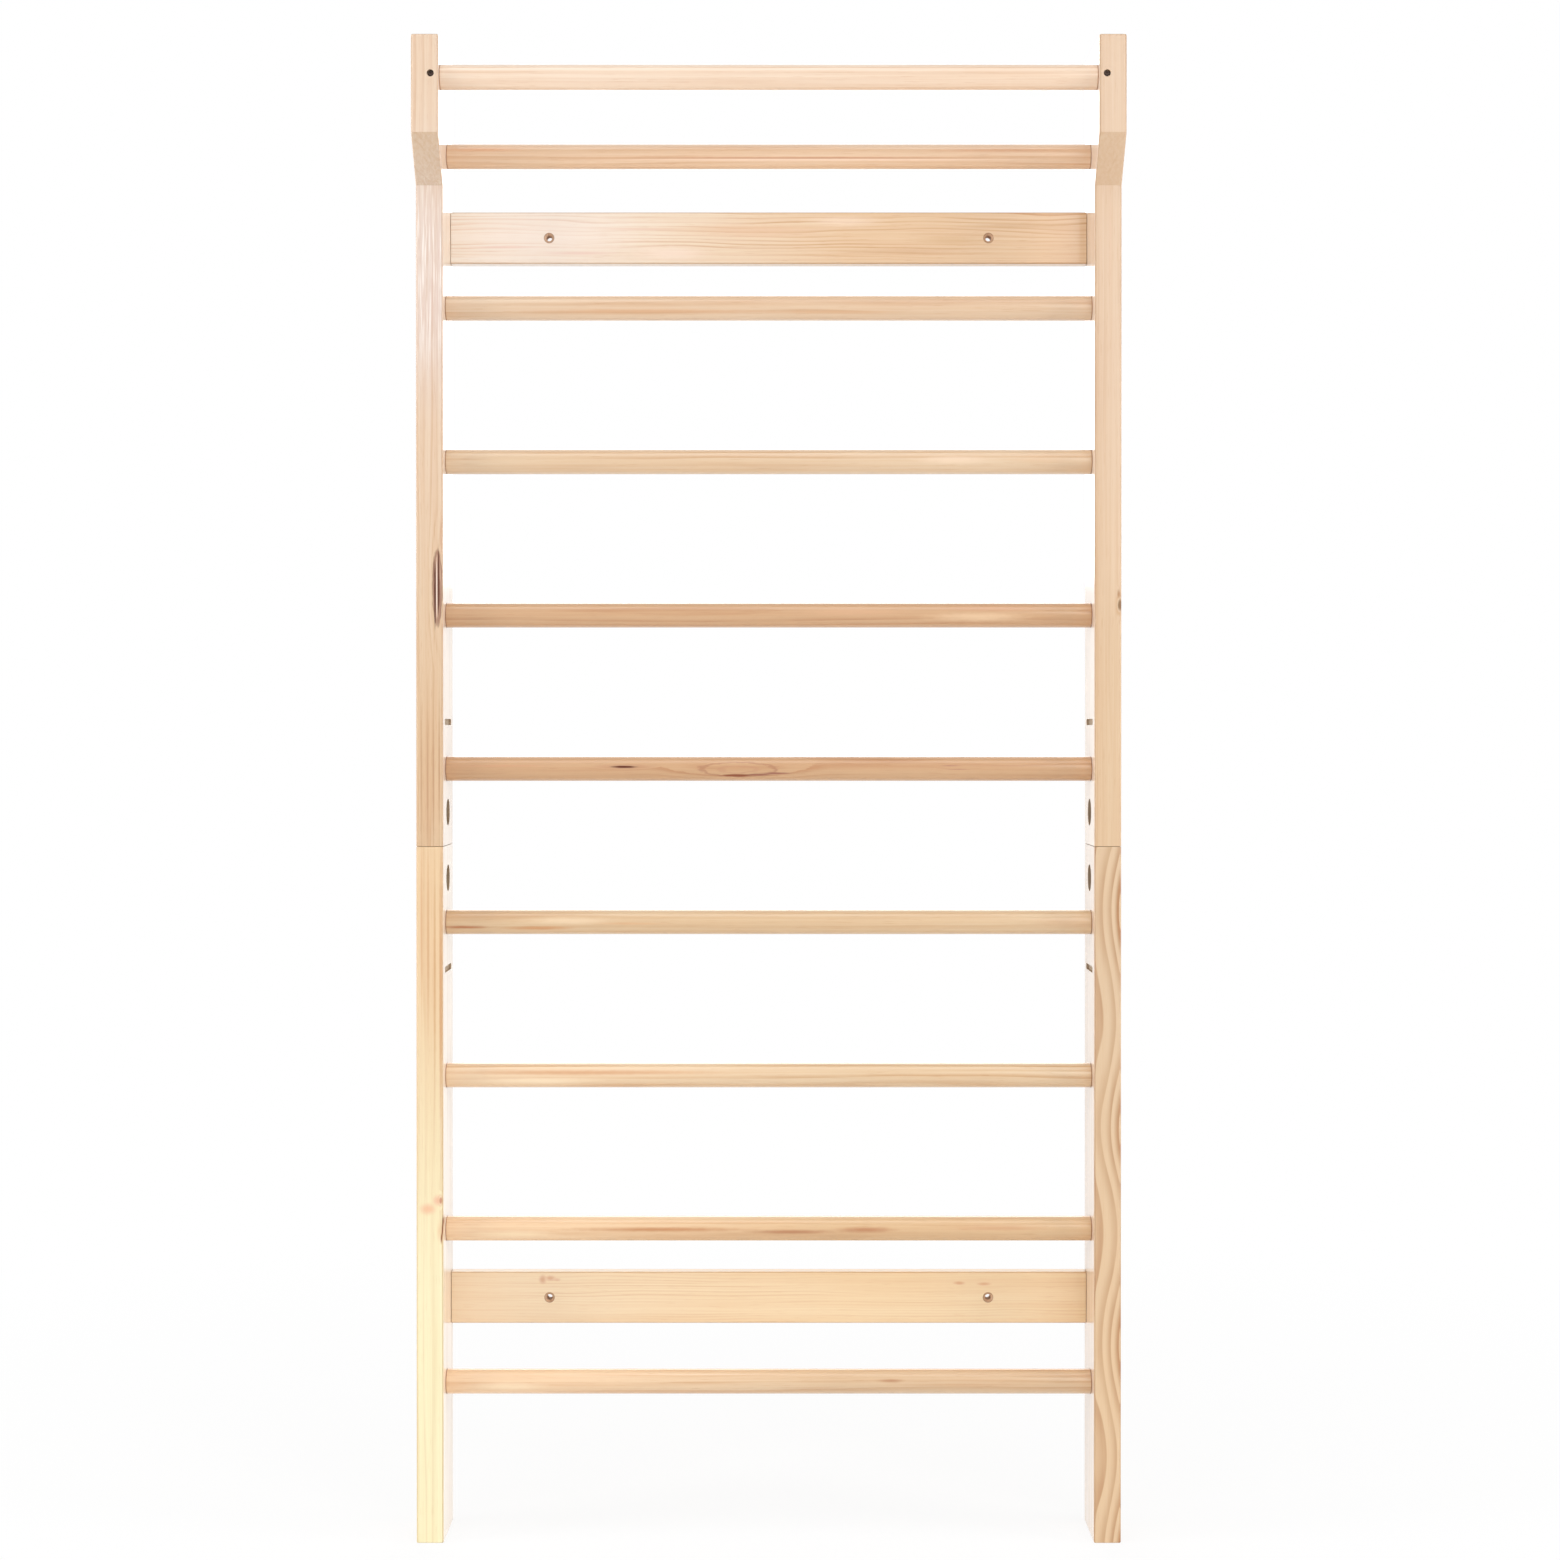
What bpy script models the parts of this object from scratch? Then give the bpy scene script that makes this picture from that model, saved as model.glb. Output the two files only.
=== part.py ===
"""Wall bars of pine: two posts, each joined from two lengths, ten round rungs and two boards on the wall.

Metres, +Z up. X runs across the ladder, the climber stands on the -Y side and the wall is on the +Y side.
The origin lies on the floor under the middle of the part.
"""

import math

import bmesh
import bpy
from mathutils import Matrix

# Rungs, numbered from the top: the lower posts carry the lowest ones, and the heads carry the top one.
RUNG_PITCH = 0.200
LOWEST_RUNG_HEIGHT = 0.200
LOWER_RUNGS = 4
UPPER_RUNGS = 5
RUNG_DIAMETER = 0.032
RUNG_SETBACK = 0.038
SECOND_RUNG_SETBACK = 0.050
TOP_RUNG_SETBACK = 0.0235
TOP_RUNG_RISE = 0.085
SOCKET_DEPTH = 0.022
RUNG_END_CHAMFER = 0.0015

# Posts: a straight shaft, and above it a head that juts out to the front over a sloping neck.
CLEAR_WIDTH = 0.840
POST_THICKNESS = 0.035
POST_DEPTH = 0.100
HEAD_REACH = 0.045
HEAD_ABOVE_TOP_RUNG = 0.050
HEAD_FOOT_RISE = 0.010
NECK_DROP = 0.048
POST_EDGE_RADIUS = 0.0025

# Boards that lie on the wall, each with two countersunk holes for wall screws.
BOARD_HEIGHT = 0.068
BOARD_THICKNESS = 0.020
BOARD_EDGE_RADIUS = 0.002
WALL_HOLE_SPACING = 0.580
WALL_HOLE_DIAMETER = 0.0075
WALL_SINK_DIAMETER = 0.0135

# Countersunk screws through the posts into the boards' ends, two for each end.
BOARD_SCREW_SPACING = 0.040
BOARD_SCREW_LENGTH = 0.070
BOARD_SCREW_DIAMETER = 0.0045
BOARD_SCREW_HEAD_DIAMETER = 0.009
BOARD_SCREW_HEAD_HEIGHT = 0.0027
BOARD_SCREW_SINK = 0.0004
BOARD_SCREW_RECESS = 0.004

# Pan-head screws, sunk in the heads' fronts, that hold the top rung's ends.
TOP_SCREW_INSET = 0.010
TOP_SCREW_LENGTH = 0.024
TOP_SCREW_DIAMETER = 0.004
TOP_SCREW_HEAD_DIAMETER = 0.0078
TOP_SCREW_HEAD_HEIGHT = 0.0025
TOP_SCREW_HEAD_CHAMFER = 0.0008
TOP_SCREW_SEAT = 0.0045
TOP_SCREW_BORE_DIAMETER = 0.009
TOP_SCREW_RECESS = 0.003

# The hexagon recess in a screw's head.
RECESS_DEPTH = 0.0015

# The joint at mid height: two dowels, and a stud whose nuts draw half-moon washers together in round pockets.
DOWEL_DIAMETER = 0.008
DOWEL_LENGTH = 0.040
DOWEL_INSET = 0.020
DOWEL_CHAMFER = 0.001
DOWEL_END_GAP = 0.001
POCKET_DIAMETER = 0.035
POCKET_OFFSET = 0.043
POCKET_FLOOR_GAP = 0.0005
WASHER_FLAT = 0.011
WASHER_WIDTH = 0.016
NUT_ACROSS_FLATS = 0.013
NUT_THICKNESS = 0.0065
NUT_CHAMFER = 0.0006
STUD_DIAMETER = 0.008
STUD_CLEARANCE = 0.0005
STUD_PROTRUSION = 0.0035
STUD_CHAMFER = 0.0008

# Shallow round-ended grooves across the posts' inner faces, above and below the joint.
GROOVE_OFFSET = 0.161
GROOVE_LENGTH = 0.065
GROOVE_HEIGHT = 0.008
GROOVE_DEPTH = 0.003

# Fits and cuts.
FIT_GAP = 0.0003
CUT_OVERRUN = 0.002
WELD_DISTANCE = 0.000001

# Shares of the edge radius, at a post's foot and where two pieces butt.
FOOT_EDGE_SHARE = 0.6
BUTT_EDGE_SHARE = 0.2

ROUND_SIDES = 32
SMALL_ROUND_SIDES = 16
EDGE_SEGMENTS = 2
FLAT_ANGLE = math.radians(1)
SMOOTH_ANGLE = math.radians(30)
NUT_RIM_ANGLE = math.radians(75)
HEXAGON_SIDES = 6
HEXAGON_CORNER_SHARE = 1 / math.cos(math.pi / HEXAGON_SIDES)

# Places that follow from the sizes above.
RUNG_COUNT = 1 + UPPER_RUNGS + LOWER_RUNGS
WALL_Y = (POST_DEPTH + HEAD_REACH) / 2
FRONT_Y = WALL_Y - POST_DEPTH
HEAD_Y = FRONT_Y - HEAD_REACH
SHAFT_MIDDLE_Y = WALL_Y - POST_DEPTH / 2
BOARD_MIDDLE_Y = WALL_Y - BOARD_THICKNESS / 2
INNER_X = CLEAR_WIDTH / 2
MIDDLE_X = INNER_X + POST_THICKNESS / 2
OUTER_X = INNER_X + POST_THICKNESS
SECOND_RUNG_HEIGHT = LOWEST_RUNG_HEIGHT + (UPPER_RUNGS + LOWER_RUNGS - 1) * RUNG_PITCH
TOP_RUNG_HEIGHT = SECOND_RUNG_HEIGHT + TOP_RUNG_RISE
POST_TOP = TOP_RUNG_HEIGHT + HEAD_ABOVE_TOP_RUNG
HEAD_FOOT = SECOND_RUNG_HEIGHT + HEAD_FOOT_RISE
NECK_FOOT = SECOND_RUNG_HEIGHT - NECK_DROP
SEAM_HEIGHT = LOWEST_RUNG_HEIGHT + LOWER_RUNGS * RUNG_PITCH - RUNG_PITCH / 2
BOARD_HEIGHTS = {
    "upper": SECOND_RUNG_HEIGHT - RUNG_PITCH / 2,
    "lower": LOWEST_RUNG_HEIGHT + RUNG_PITCH / 2,
}
POCKET_DEPTH = POST_THICKNESS / 2 + WASHER_WIDTH / 2 + POCKET_FLOOR_GAP
WASHER_FACE = POCKET_OFFSET - WASHER_FLAT
STUD_HALF_LENGTH = WASHER_FACE + FIT_GAP + NUT_THICKNESS + STUD_PROTRUSION
STUD_HOLE_RADIUS = STUD_DIAMETER / 2 + FIT_GAP

# Directions. A piece that is turned or cut to length has its own axis along +Z before it is placed.
SIDES = {"left": -1, "right": 1}
LENGTHS = {"upper": 1, "lower": -1}
ORIGIN = (0, 0, 0)
UPRIGHT = (0, 0, 0)
UPSIDE_DOWN = (math.pi, 0, 0)
TO_RIGHT = (0, math.pi / 2, 0)
TO_FRONT = (math.pi / 2, 0, 0)
OUTLINE_TO_SIDE = (math.pi / 2, 0, math.pi / 2)

# Colours as they look: red, green and blue out of 255.
POST_COLOURS = {
    "left_upper": (238, 211, 184),
    "right_upper": (240, 212, 184),
    "left_lower": (248, 228, 192),
    "right_lower": (228, 196, 156),
}
RUNG_COLOURS = (
    (243, 215, 184),
    (236, 201, 168),
    (236, 204, 166),
    (238, 206, 162),
    (226, 184, 140),
    (224, 180, 136),
    (238, 208, 162),
    (235, 204, 158),
    (233, 200, 152),
    (232, 196, 150),
)
BOARD_COLOURS = {"upper": (244, 222, 200), "lower": (246, 222, 182)}
DOWEL_COLOUR = (214, 178, 134)
ZINC_COLOUR = (176, 178, 182)
BLACK_STEEL_COLOUR = (48, 46, 45)


def collection(name):
    """A new collection in the scene."""
    made = bpy.data.collections.new(name)
    bpy.context.scene.collection.children.link(made)
    return made


for leftover in list(bpy.data.objects):
    bpy.data.objects.remove(leftover)
parts = collection("wall_bars")
cutters = collection("cutters")


def finish(name, colour, roughness, metallic=0.0):
    """A Principled material of a colour given as it looks."""
    made = bpy.data.materials.new(name)
    made.use_nodes = True
    shader = made.node_tree.nodes["Principled BSDF"]
    linear = [((c / 255 + 0.055) / 1.055) ** 2.4 for c in colour]
    shader.inputs["Base Color"].default_value = (*linear, 1)
    shader.inputs["Roughness"].default_value = roughness
    shader.inputs["Metallic"].default_value = metallic
    return made


def wood(name, colour):
    """Sanded timber with a thin clear varnish."""
    return finish(name, colour, roughness=0.55)


def zinc(name):
    """Bright zinc-plated steel."""
    return finish(name, ZINC_COLOUR, roughness=0.35, metallic=1.0)


def black_steel(name):
    """Blackened steel."""
    return finish(name, BLACK_STEEL_COLOUR, roughness=0.45, metallic=1.0)


def put(group, name, mesh, location=ORIGIN, rotation=UPRIGHT):
    """An object of the mesh in the group, which is either the parts or the cutters."""
    made = bpy.data.objects.new(name, mesh)
    made.location = location
    made.rotation_euler = rotation
    group.objects.link(made)
    if group is cutters:
        made.hide_render = True
        made.display_type = "WIRE"
    return made


def cut(part, *tools):
    """Cuts the tools out of the part, all in one Boolean, so that no cut meets the seams of another.

    The exact solver leaves slivers on the rims of the posts' sockets, so the posts have the other one.
    """
    group = bpy.data.collections.get(f"{part.name}_cuts")
    if not group:
        group = bpy.data.collections.new(f"{part.name}_cuts")
        cutters.children.link(group)
        boolean = part.modifiers.new("cuts", "BOOLEAN")
        boolean.operation = "DIFFERENCE"
        boolean.solver = "MANIFOLD" if part.name.endswith("_post") else "EXACT"
        boolean.operand_type = "COLLECTION"
        boolean.collection = group
    for tool in tools:
        group.objects.link(tool)


def applied(pattern, *tools):
    """The pattern's mesh with its modifiers applied and the tools cut out, for pieces that share it."""
    if tools:
        cut(pattern, *tools)
    bpy.context.view_layer.update()
    graph = bpy.context.evaluated_depsgraph_get()
    mesh = bpy.data.meshes.new_from_object(pattern.evaluated_get(graph))
    if tools:
        bpy.data.collections.remove(bpy.data.collections[f"{pattern.name}_cuts"])
    for used in (pattern, *tools):
        bpy.data.objects.remove(used)
    return smoothed(mesh)


def smoothed(mesh):
    """The mesh with its round faces shaded smooth and its corners sharp."""
    mesh.shade_smooth()
    mesh.set_sharp_from_angle(angle=SMOOTH_ANGLE)
    return mesh


def mesh_of(shape, name, material=None):
    """A mesh of the finished shape."""
    mesh = bpy.data.meshes.new(name)
    shape.to_mesh(mesh)
    shape.free()
    if material:
        mesh.materials.append(material)
    return mesh


def rod(name, radius, length, material=None, sides=ROUND_SIDES, turn=0.0):
    """A cylinder or prism along its own Z, about its middle."""
    shape = bmesh.new()
    bmesh.ops.create_cone(shape, cap_ends=True, segments=sides, radius1=radius, radius2=radius, depth=length)
    bmesh.ops.rotate(shape, verts=shape.verts, matrix=Matrix.Rotation(turn, 3, "Z"))
    return smoothed(mesh_of(shape, name, material))


def box(name, size, material=None):
    """A box about its middle."""
    shape = bmesh.new()
    bmesh.ops.create_cube(shape, size=1)
    bmesh.ops.scale(shape, vec=size, verts=shape.verts)
    return mesh_of(shape, name, material)


def turned(name, profile, material=None, recess=None):
    """A shape turned about its own Z, from (radius, height) points that run from its top to its bottom.

    It starts half a side from X, which keeps its corners clear of those of the round pieces that it crosses.
    """
    outline = bpy.data.meshes.new(name)
    start = math.pi / SMALL_ROUND_SIDES
    points = [(radius * math.cos(start), radius * math.sin(start), height) for radius, height in profile]
    outline.from_pydata(points, [(n, n + 1) for n in range(len(points) - 1)], [])
    if material:
        outline.materials.append(material)
    pattern = put(cutters, name, outline)
    screw = pattern.modifiers.new("turn", "SCREW")
    screw.steps = screw.render_steps = SMALL_ROUND_SIDES
    screw.use_merge_vertices = True
    screw.merge_threshold = WELD_DISTANCE
    if not recess:
        return applied(pattern)
    corner = recess / 2 * HEXAGON_CORNER_SHARE
    hexagon = rod(f"{name}_recess", corner, 2 * RECESS_DEPTH, sides=HEXAGON_SIDES)
    return applied(pattern, put(cutters, f"{name}_recess", hexagon, location=(0, 0, profile[0][1])))


def pin_profile(radius, half_length, chamfer=0):
    """The profile of a straight pin about its middle, with chamfered ends where there is a chamfer."""
    if not chamfer:
        return [(0, half_length), (radius, half_length), (radius, -half_length), (0, -half_length)]
    return [
        (0, half_length),
        (radius - chamfer, half_length),
        (radius, half_length - chamfer),
        (radius, chamfer - half_length),
        (radius - chamfer, -half_length),
        (0, -half_length),
    ]


def side_plate(name, outline, thickness, material):
    """A plate of the (y, z) outline, seen from the side, with clean flat faces, about its own XY plane."""
    curve = bpy.data.curves.new(name, "CURVE")
    curve.dimensions = "2D"
    curve.fill_mode = "BOTH"
    curve.extrude = thickness / 2
    spline = curve.splines.new("POLY")
    spline.points.add(len(outline) - 1)
    for point, (y, z) in zip(spline.points, outline):
        point.co = (y, z, 0, 1)
    spline.use_cyclic_u = True
    plate = applied(put(cutters, name, curve))
    shape = bmesh.new()
    shape.from_mesh(plate)
    bmesh.ops.remove_doubles(shape, verts=shape.verts, dist=WELD_DISTANCE)
    bmesh.ops.dissolve_limit(shape, angle_limit=FLAT_ANGLE, verts=shape.verts, edges=shape.edges)
    bmesh.ops.recalc_face_normals(shape, faces=shape.faces)
    for face in shape.faces:
        face.smooth = False
    return mesh_of(shape, name, material)


def round_edges(part, radius, share_of_edge):
    """Rounds each edge by its share of the radius, worked out from the edge's two ends."""
    weights = part.data.attributes.new("bevel_weight_edge", "FLOAT", "EDGE")
    for edge, weight in zip(part.data.edges, weights.data):
        weight.value = share_of_edge(*(part.data.vertices[n].co for n in edge.vertices))
    bevel = part.modifiers.new("round_edges", "BEVEL")
    bevel.limit_method = "WEIGHT"
    bevel.width = radius
    bevel.segments = EDGE_SEGMENTS


def chamfer_rims(part, width, angle=SMOOTH_ANGLE):
    """Chamfers the edges that are sharper than the angle."""
    bevel = part.modifiers.new("chamfer", "BEVEL")
    bevel.limit_method = "ANGLE"
    bevel.angle_limit = angle
    bevel.width = width
    bevel.segments = 1


def rung_axis(number):
    """(y, z) of a rung's axis."""
    if number == 1:
        return HEAD_Y + TOP_RUNG_SETBACK, TOP_RUNG_HEIGHT
    setback = SECOND_RUNG_SETBACK if number == 2 else RUNG_SETBACK
    return FRONT_Y + setback, LOWEST_RUNG_HEIGHT + (RUNG_COUNT - number) * RUNG_PITCH


def add_lower_post(side):
    """The lower length of a post: a straight bar from the floor to the seam."""
    name = f"{side}_lower_post"
    top = SEAM_HEIGHT - FIT_GAP / 2
    mesh = box(name, (POST_THICKNESS, POST_DEPTH, top), wood(name, POST_COLOURS[f"{side}_lower"]))
    post = put(parts, name, mesh, location=(SIDES[side] * MIDDLE_X, SHAFT_MIDDLE_Y, top / 2))

    def share(a, b):
        if abs(a.z - b.z) > WELD_DISTANCE:
            return 1
        return BUTT_EDGE_SHARE if a.z > 0 else FOOT_EDGE_SHARE

    round_edges(post, POST_EDGE_RADIUS, share)
    return post


def add_upper_post(side):
    """The upper length of a post: a shaft from the seam up, a sloping neck and the head."""
    name = f"{side}_upper_post"
    foot = SEAM_HEIGHT + FIT_GAP / 2
    outline = [
        (FRONT_Y, foot),
        (WALL_Y, foot),
        (WALL_Y, POST_TOP),
        (HEAD_Y, POST_TOP),
        (HEAD_Y, HEAD_FOOT),
        (FRONT_Y, NECK_FOOT),
    ]
    mesh = side_plate(name, outline, POST_THICKNESS, wood(name, POST_COLOURS[f"{side}_upper"]))
    post = put(parts, name, mesh, location=(SIDES[side] * MIDDLE_X, 0, 0), rotation=OUTLINE_TO_SIDE)

    def share(a, b):
        if max(a.y, b.y) < foot + WELD_DISTANCE:
            return BUTT_EDGE_SHARE
        runs_across = abs(a.z - b.z) > WELD_DISTANCE
        at_top = min(a.y, b.y) > POST_TOP - WELD_DISTANCE
        return 0 if runs_across and not at_top else 1

    round_edges(post, POST_EDGE_RADIUS, share)
    return post


def add_board(place):
    """A board flush with the posts' backs and butted between them, with its wall screws' holes."""
    name = f"{place}_wall_board"
    height = BOARD_HEIGHTS[place]
    size = (CLEAR_WIDTH - 2 * FIT_GAP, BOARD_THICKNESS, BOARD_HEIGHT)
    board = put(parts, name, box(name, size, wood(name, BOARD_COLOURS[place])), (0, BOARD_MIDDLE_Y, height))

    def share(a, b):
        return BUTT_EDGE_SHARE if a.x * b.x > 0 else 1

    round_edges(board, BOARD_EDGE_RADIUS, share)
    hole, sink = WALL_HOLE_DIAMETER / 2, WALL_SINK_DIAMETER / 2
    through = BOARD_THICKNESS + CUT_OVERRUN
    profile = [
        (0, CUT_OVERRUN),
        (sink + CUT_OVERRUN, CUT_OVERRUN),
        (hole, hole - sink),
        (hole, -through),
        (0, -through),
    ]
    mesh = turned(f"{place}_wall_hole", profile)
    for side, sign in SIDES.items():
        location = (sign * WALL_HOLE_SPACING / 2, WALL_Y - BOARD_THICKNESS, height)
        cut(board, put(cutters, f"{place}_{side}_wall_hole", mesh, location, TO_FRONT))
    return board


def add_rung(number):
    """A round rung whose ends sit in blind sockets in the posts."""
    name = f"rung_{number:02d}"
    y, z = rung_axis(number)
    length = CLEAR_WIDTH + 2 * (SOCKET_DEPTH - FIT_GAP)
    material = wood(name, RUNG_COLOURS[(number - 1) % len(RUNG_COLOURS)])
    rung = put(parts, name, rod(name, RUNG_DIAMETER / 2, length, material), (0, y, z), TO_RIGHT)
    chamfer_rims(rung, RUNG_END_CHAMFER)
    return rung


def cut_both_sides(name, posts, mesh, y, z):
    """Cuts a tool that reaches from post to post into both of them."""
    tool = put(cutters, name, mesh, (0, y, z), TO_RIGHT)
    for side in SIDES:
        cut(posts[side], tool)


def fasten(name, piece, hole, location, rotation, *held):
    """Puts a fastener in place and cuts its hole out of what it holds."""
    put(parts, name, piece, location, rotation)
    tool = put(cutters, f"{name}_hole", hole, location, rotation)
    for part in held:
        cut(part, tool)


def board_screw_meshes():
    """A countersunk screw, whose head's top is its own origin, and its hole."""
    head, shank = BOARD_SCREW_HEAD_DIAMETER / 2, BOARD_SCREW_DIAMETER / 2
    profile = [
        (0, 0),
        (head, 0),
        (shank, -BOARD_SCREW_HEAD_HEIGHT),
        (shank, BOARD_SCREW_DIAMETER - BOARD_SCREW_LENGTH),
        (0, -BOARD_SCREW_LENGTH),
    ]
    end = -BOARD_SCREW_LENGTH - FIT_GAP
    hole_profile = [
        (0, CUT_OVERRUN),
        (head + FIT_GAP, CUT_OVERRUN),
        (head + FIT_GAP, 0),
        (shank + FIT_GAP, -BOARD_SCREW_HEAD_HEIGHT),
        (shank + FIT_GAP, end),
        (0, end),
    ]
    screw = turned("board_screw", profile, zinc("board_screw"), BOARD_SCREW_RECESS)
    return screw, turned("board_screw_hole", hole_profile)


def top_screw_meshes():
    """A pan-head screw sunk below its own origin, which lies on the head's front, and its stepped hole."""
    head, shank, bore = TOP_SCREW_HEAD_DIAMETER / 2, TOP_SCREW_DIAMETER / 2, TOP_SCREW_BORE_DIAMETER / 2
    under = FIT_GAP - TOP_SCREW_SEAT
    top = under + TOP_SCREW_HEAD_HEIGHT
    end = under - TOP_SCREW_LENGTH
    profile = [
        (0, top),
        (head - TOP_SCREW_HEAD_CHAMFER, top),
        (head, top - TOP_SCREW_HEAD_CHAMFER),
        (head, under),
        (shank, under),
        (shank, end + TOP_SCREW_DIAMETER),
        (0, end),
    ]
    hole_profile = [
        (0, CUT_OVERRUN),
        (bore, CUT_OVERRUN),
        (bore, -TOP_SCREW_SEAT),
        (shank + FIT_GAP, -TOP_SCREW_SEAT),
        (shank + FIT_GAP, end - FIT_GAP),
        (0, end - FIT_GAP),
    ]
    screw = turned("top_screw", profile, black_steel("top_rung_screw"), TOP_SCREW_RECESS)
    return screw, turned("top_screw_hole", hole_profile)


def washer_mesh():
    """A half-moon washer above the seam, round towards the pocket's wall and flat towards the nut."""
    shape = bmesh.new()
    radius = POCKET_DIAMETER / 2 - FIT_GAP
    bmesh.ops.create_cone(
        shape, cap_ends=True, segments=ROUND_SIDES, radius1=radius, radius2=radius, depth=WASHER_WIDTH
    )
    bmesh.ops.rotate(shape, verts=shape.verts, matrix=Matrix.Rotation(math.pi / 2, 3, "Y"))
    bmesh.ops.translate(shape, verts=shape.verts, vec=(0, 0, POCKET_OFFSET))
    flat = bmesh.ops.bisect_plane(
        shape,
        geom=shape.verts[:] + shape.edges[:] + shape.faces[:],
        plane_co=(0, 0, WASHER_FACE),
        plane_no=(0, 0, 1),
        clear_outer=True,
    )
    rim = [piece for piece in flat["geom_cut"] if isinstance(piece, bmesh.types.BMEdge)]
    bmesh.ops.edgeloop_fill(shape, edges=rim)
    bmesh.ops.recalc_face_normals(shape, faces=shape.faces)
    return with_stud_hole(put(cutters, "washer", mesh_of(shape, "washer", zinc("seam_washer"))))


def nut_mesh():
    """A hexagon nut above the seam, on the washer's flat."""
    corner = NUT_ACROSS_FLATS / 2 * HEXAGON_CORNER_SHARE
    mesh = rod("nut", corner, NUT_THICKNESS, zinc("seam_nut"), sides=HEXAGON_SIDES)
    mesh.transform(Matrix.Translation((0, 0, WASHER_FACE + FIT_GAP + NUT_THICKNESS / 2)))
    nut = put(cutters, "nut", mesh)
    chamfer_rims(nut, NUT_CHAMFER, NUT_RIM_ANGLE)
    return with_stud_hole(nut)


def with_stud_hole(pattern):
    """The pattern's mesh with the stud's hole through it."""
    hole = turned("stud_hole", pin_profile(STUD_HOLE_RADIUS, POCKET_OFFSET + POCKET_DIAMETER / 2))
    return applied(pattern, put(cutters, "stud_hole", hole))


def groove_mesh():
    """The tool for a pair of round-ended grooves: a rod whose halves are pulled apart along the groove."""
    length = CLEAR_WIDTH + 2 * GROOVE_DEPTH
    half_step = math.pi / SMALL_ROUND_SIDES
    mesh = rod("groove", GROOVE_HEIGHT / 2, length, sides=SMALL_ROUND_SIDES, turn=half_step)
    for vertex in mesh.vertices:
        vertex.co.y += math.copysign((GROOVE_LENGTH - GROOVE_HEIGHT) / 2, vertex.co.y)
    return mesh


posts = {
    "upper": {side: add_upper_post(side) for side in SIDES},
    "lower": {side: add_lower_post(side) for side in SIDES},
}
boards = {place: add_board(place) for place in BOARD_HEIGHTS}
rungs = {number: add_rung(number) for number in range(1, RUNG_COUNT + 1)}

socket = rod("socket", RUNG_DIAMETER / 2 + FIT_GAP, CLEAR_WIDTH + 2 * SOCKET_DEPTH)
for number in rungs:
    length = "upper" if number <= 1 + UPPER_RUNGS else "lower"
    cut_both_sides(f"socket_{number:02d}", posts[length], socket, *rung_axis(number))

pocket = rod("pocket", POCKET_DIAMETER / 2, CLEAR_WIDTH + 2 * POCKET_DEPTH)
groove = groove_mesh()
for length, sign in LENGTHS.items():
    pocket_height = SEAM_HEIGHT + sign * POCKET_OFFSET
    groove_height = SEAM_HEIGHT + sign * GROOVE_OFFSET
    cut_both_sides(f"{length}_pocket", posts[length], pocket, SHAFT_MIDDLE_Y, pocket_height)
    cut_both_sides(f"{length}_groove", posts[length], groove, SHAFT_MIDDLE_Y, groove_height)

dowel_profile = pin_profile(DOWEL_DIAMETER / 2, DOWEL_LENGTH / 2, DOWEL_CHAMFER)
dowel_hole_profile = pin_profile(DOWEL_DIAMETER / 2 + FIT_GAP, DOWEL_LENGTH / 2 + DOWEL_END_GAP)
dowel = turned("dowel", dowel_profile, wood("seam_dowel", DOWEL_COLOUR))
dowel_hole = turned("dowel_hole", dowel_hole_profile)
stud = turned("stud", pin_profile(STUD_DIAMETER / 2, STUD_HALF_LENGTH, STUD_CHAMFER), zinc("seam_stud"))
stud_bore = turned("stud_bore", pin_profile(STUD_DIAMETER / 2 + STUD_CLEARANCE, POCKET_OFFSET))
washer = washer_mesh()
nut = nut_mesh()
board_screw, board_screw_hole = board_screw_meshes()
top_screw, top_screw_hole = top_screw_meshes()

for side, outwards in SIDES.items():
    upper, lower = posts["upper"][side], posts["lower"][side]
    seam = (outwards * MIDDLE_X, SHAFT_MIDDLE_Y, SEAM_HEIGHT)
    fasten(f"{side}_seam_stud", stud, stud_bore, seam, UPRIGHT, upper, lower)
    for place, toward in (("front", -1), ("back", 1)):
        foot = (seam[0], SHAFT_MIDDLE_Y + toward * (POST_DEPTH / 2 - DOWEL_INSET), SEAM_HEIGHT)
        fasten(f"{side}_seam_dowel_{place}", dowel, dowel_hole, foot, UPRIGHT, upper, lower)
    for length, turn in (("upper", UPRIGHT), ("lower", UPSIDE_DOWN)):
        put(parts, f"{side}_seam_washer_{length}", washer, seam, turn)
        put(parts, f"{side}_seam_nut_{length}", nut, seam, turn)

    outward_turn = (0, outwards * math.pi / 2, 0)
    for length, height in BOARD_HEIGHTS.items():
        for place, sign in (("top", 1), ("bottom", -1)):
            name = f"{side}_{length}_board_screw_{place}"
            screw_height = height + sign * BOARD_SCREW_SPACING / 2
            head = (outwards * (OUTER_X - BOARD_SCREW_SINK), BOARD_MIDDLE_Y, screw_height)
            held = (posts[length][side], boards[length])
            fasten(name, board_screw, board_screw_hole, head, outward_turn, *held)

    sunk = (outwards * (INNER_X + TOP_SCREW_INSET), HEAD_Y, TOP_RUNG_HEIGHT)
    fasten(f"{side}_top_rung_screw", top_screw, top_screw_hole, sunk, TO_FRONT, upper, rungs[1])
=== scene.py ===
import math

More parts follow.
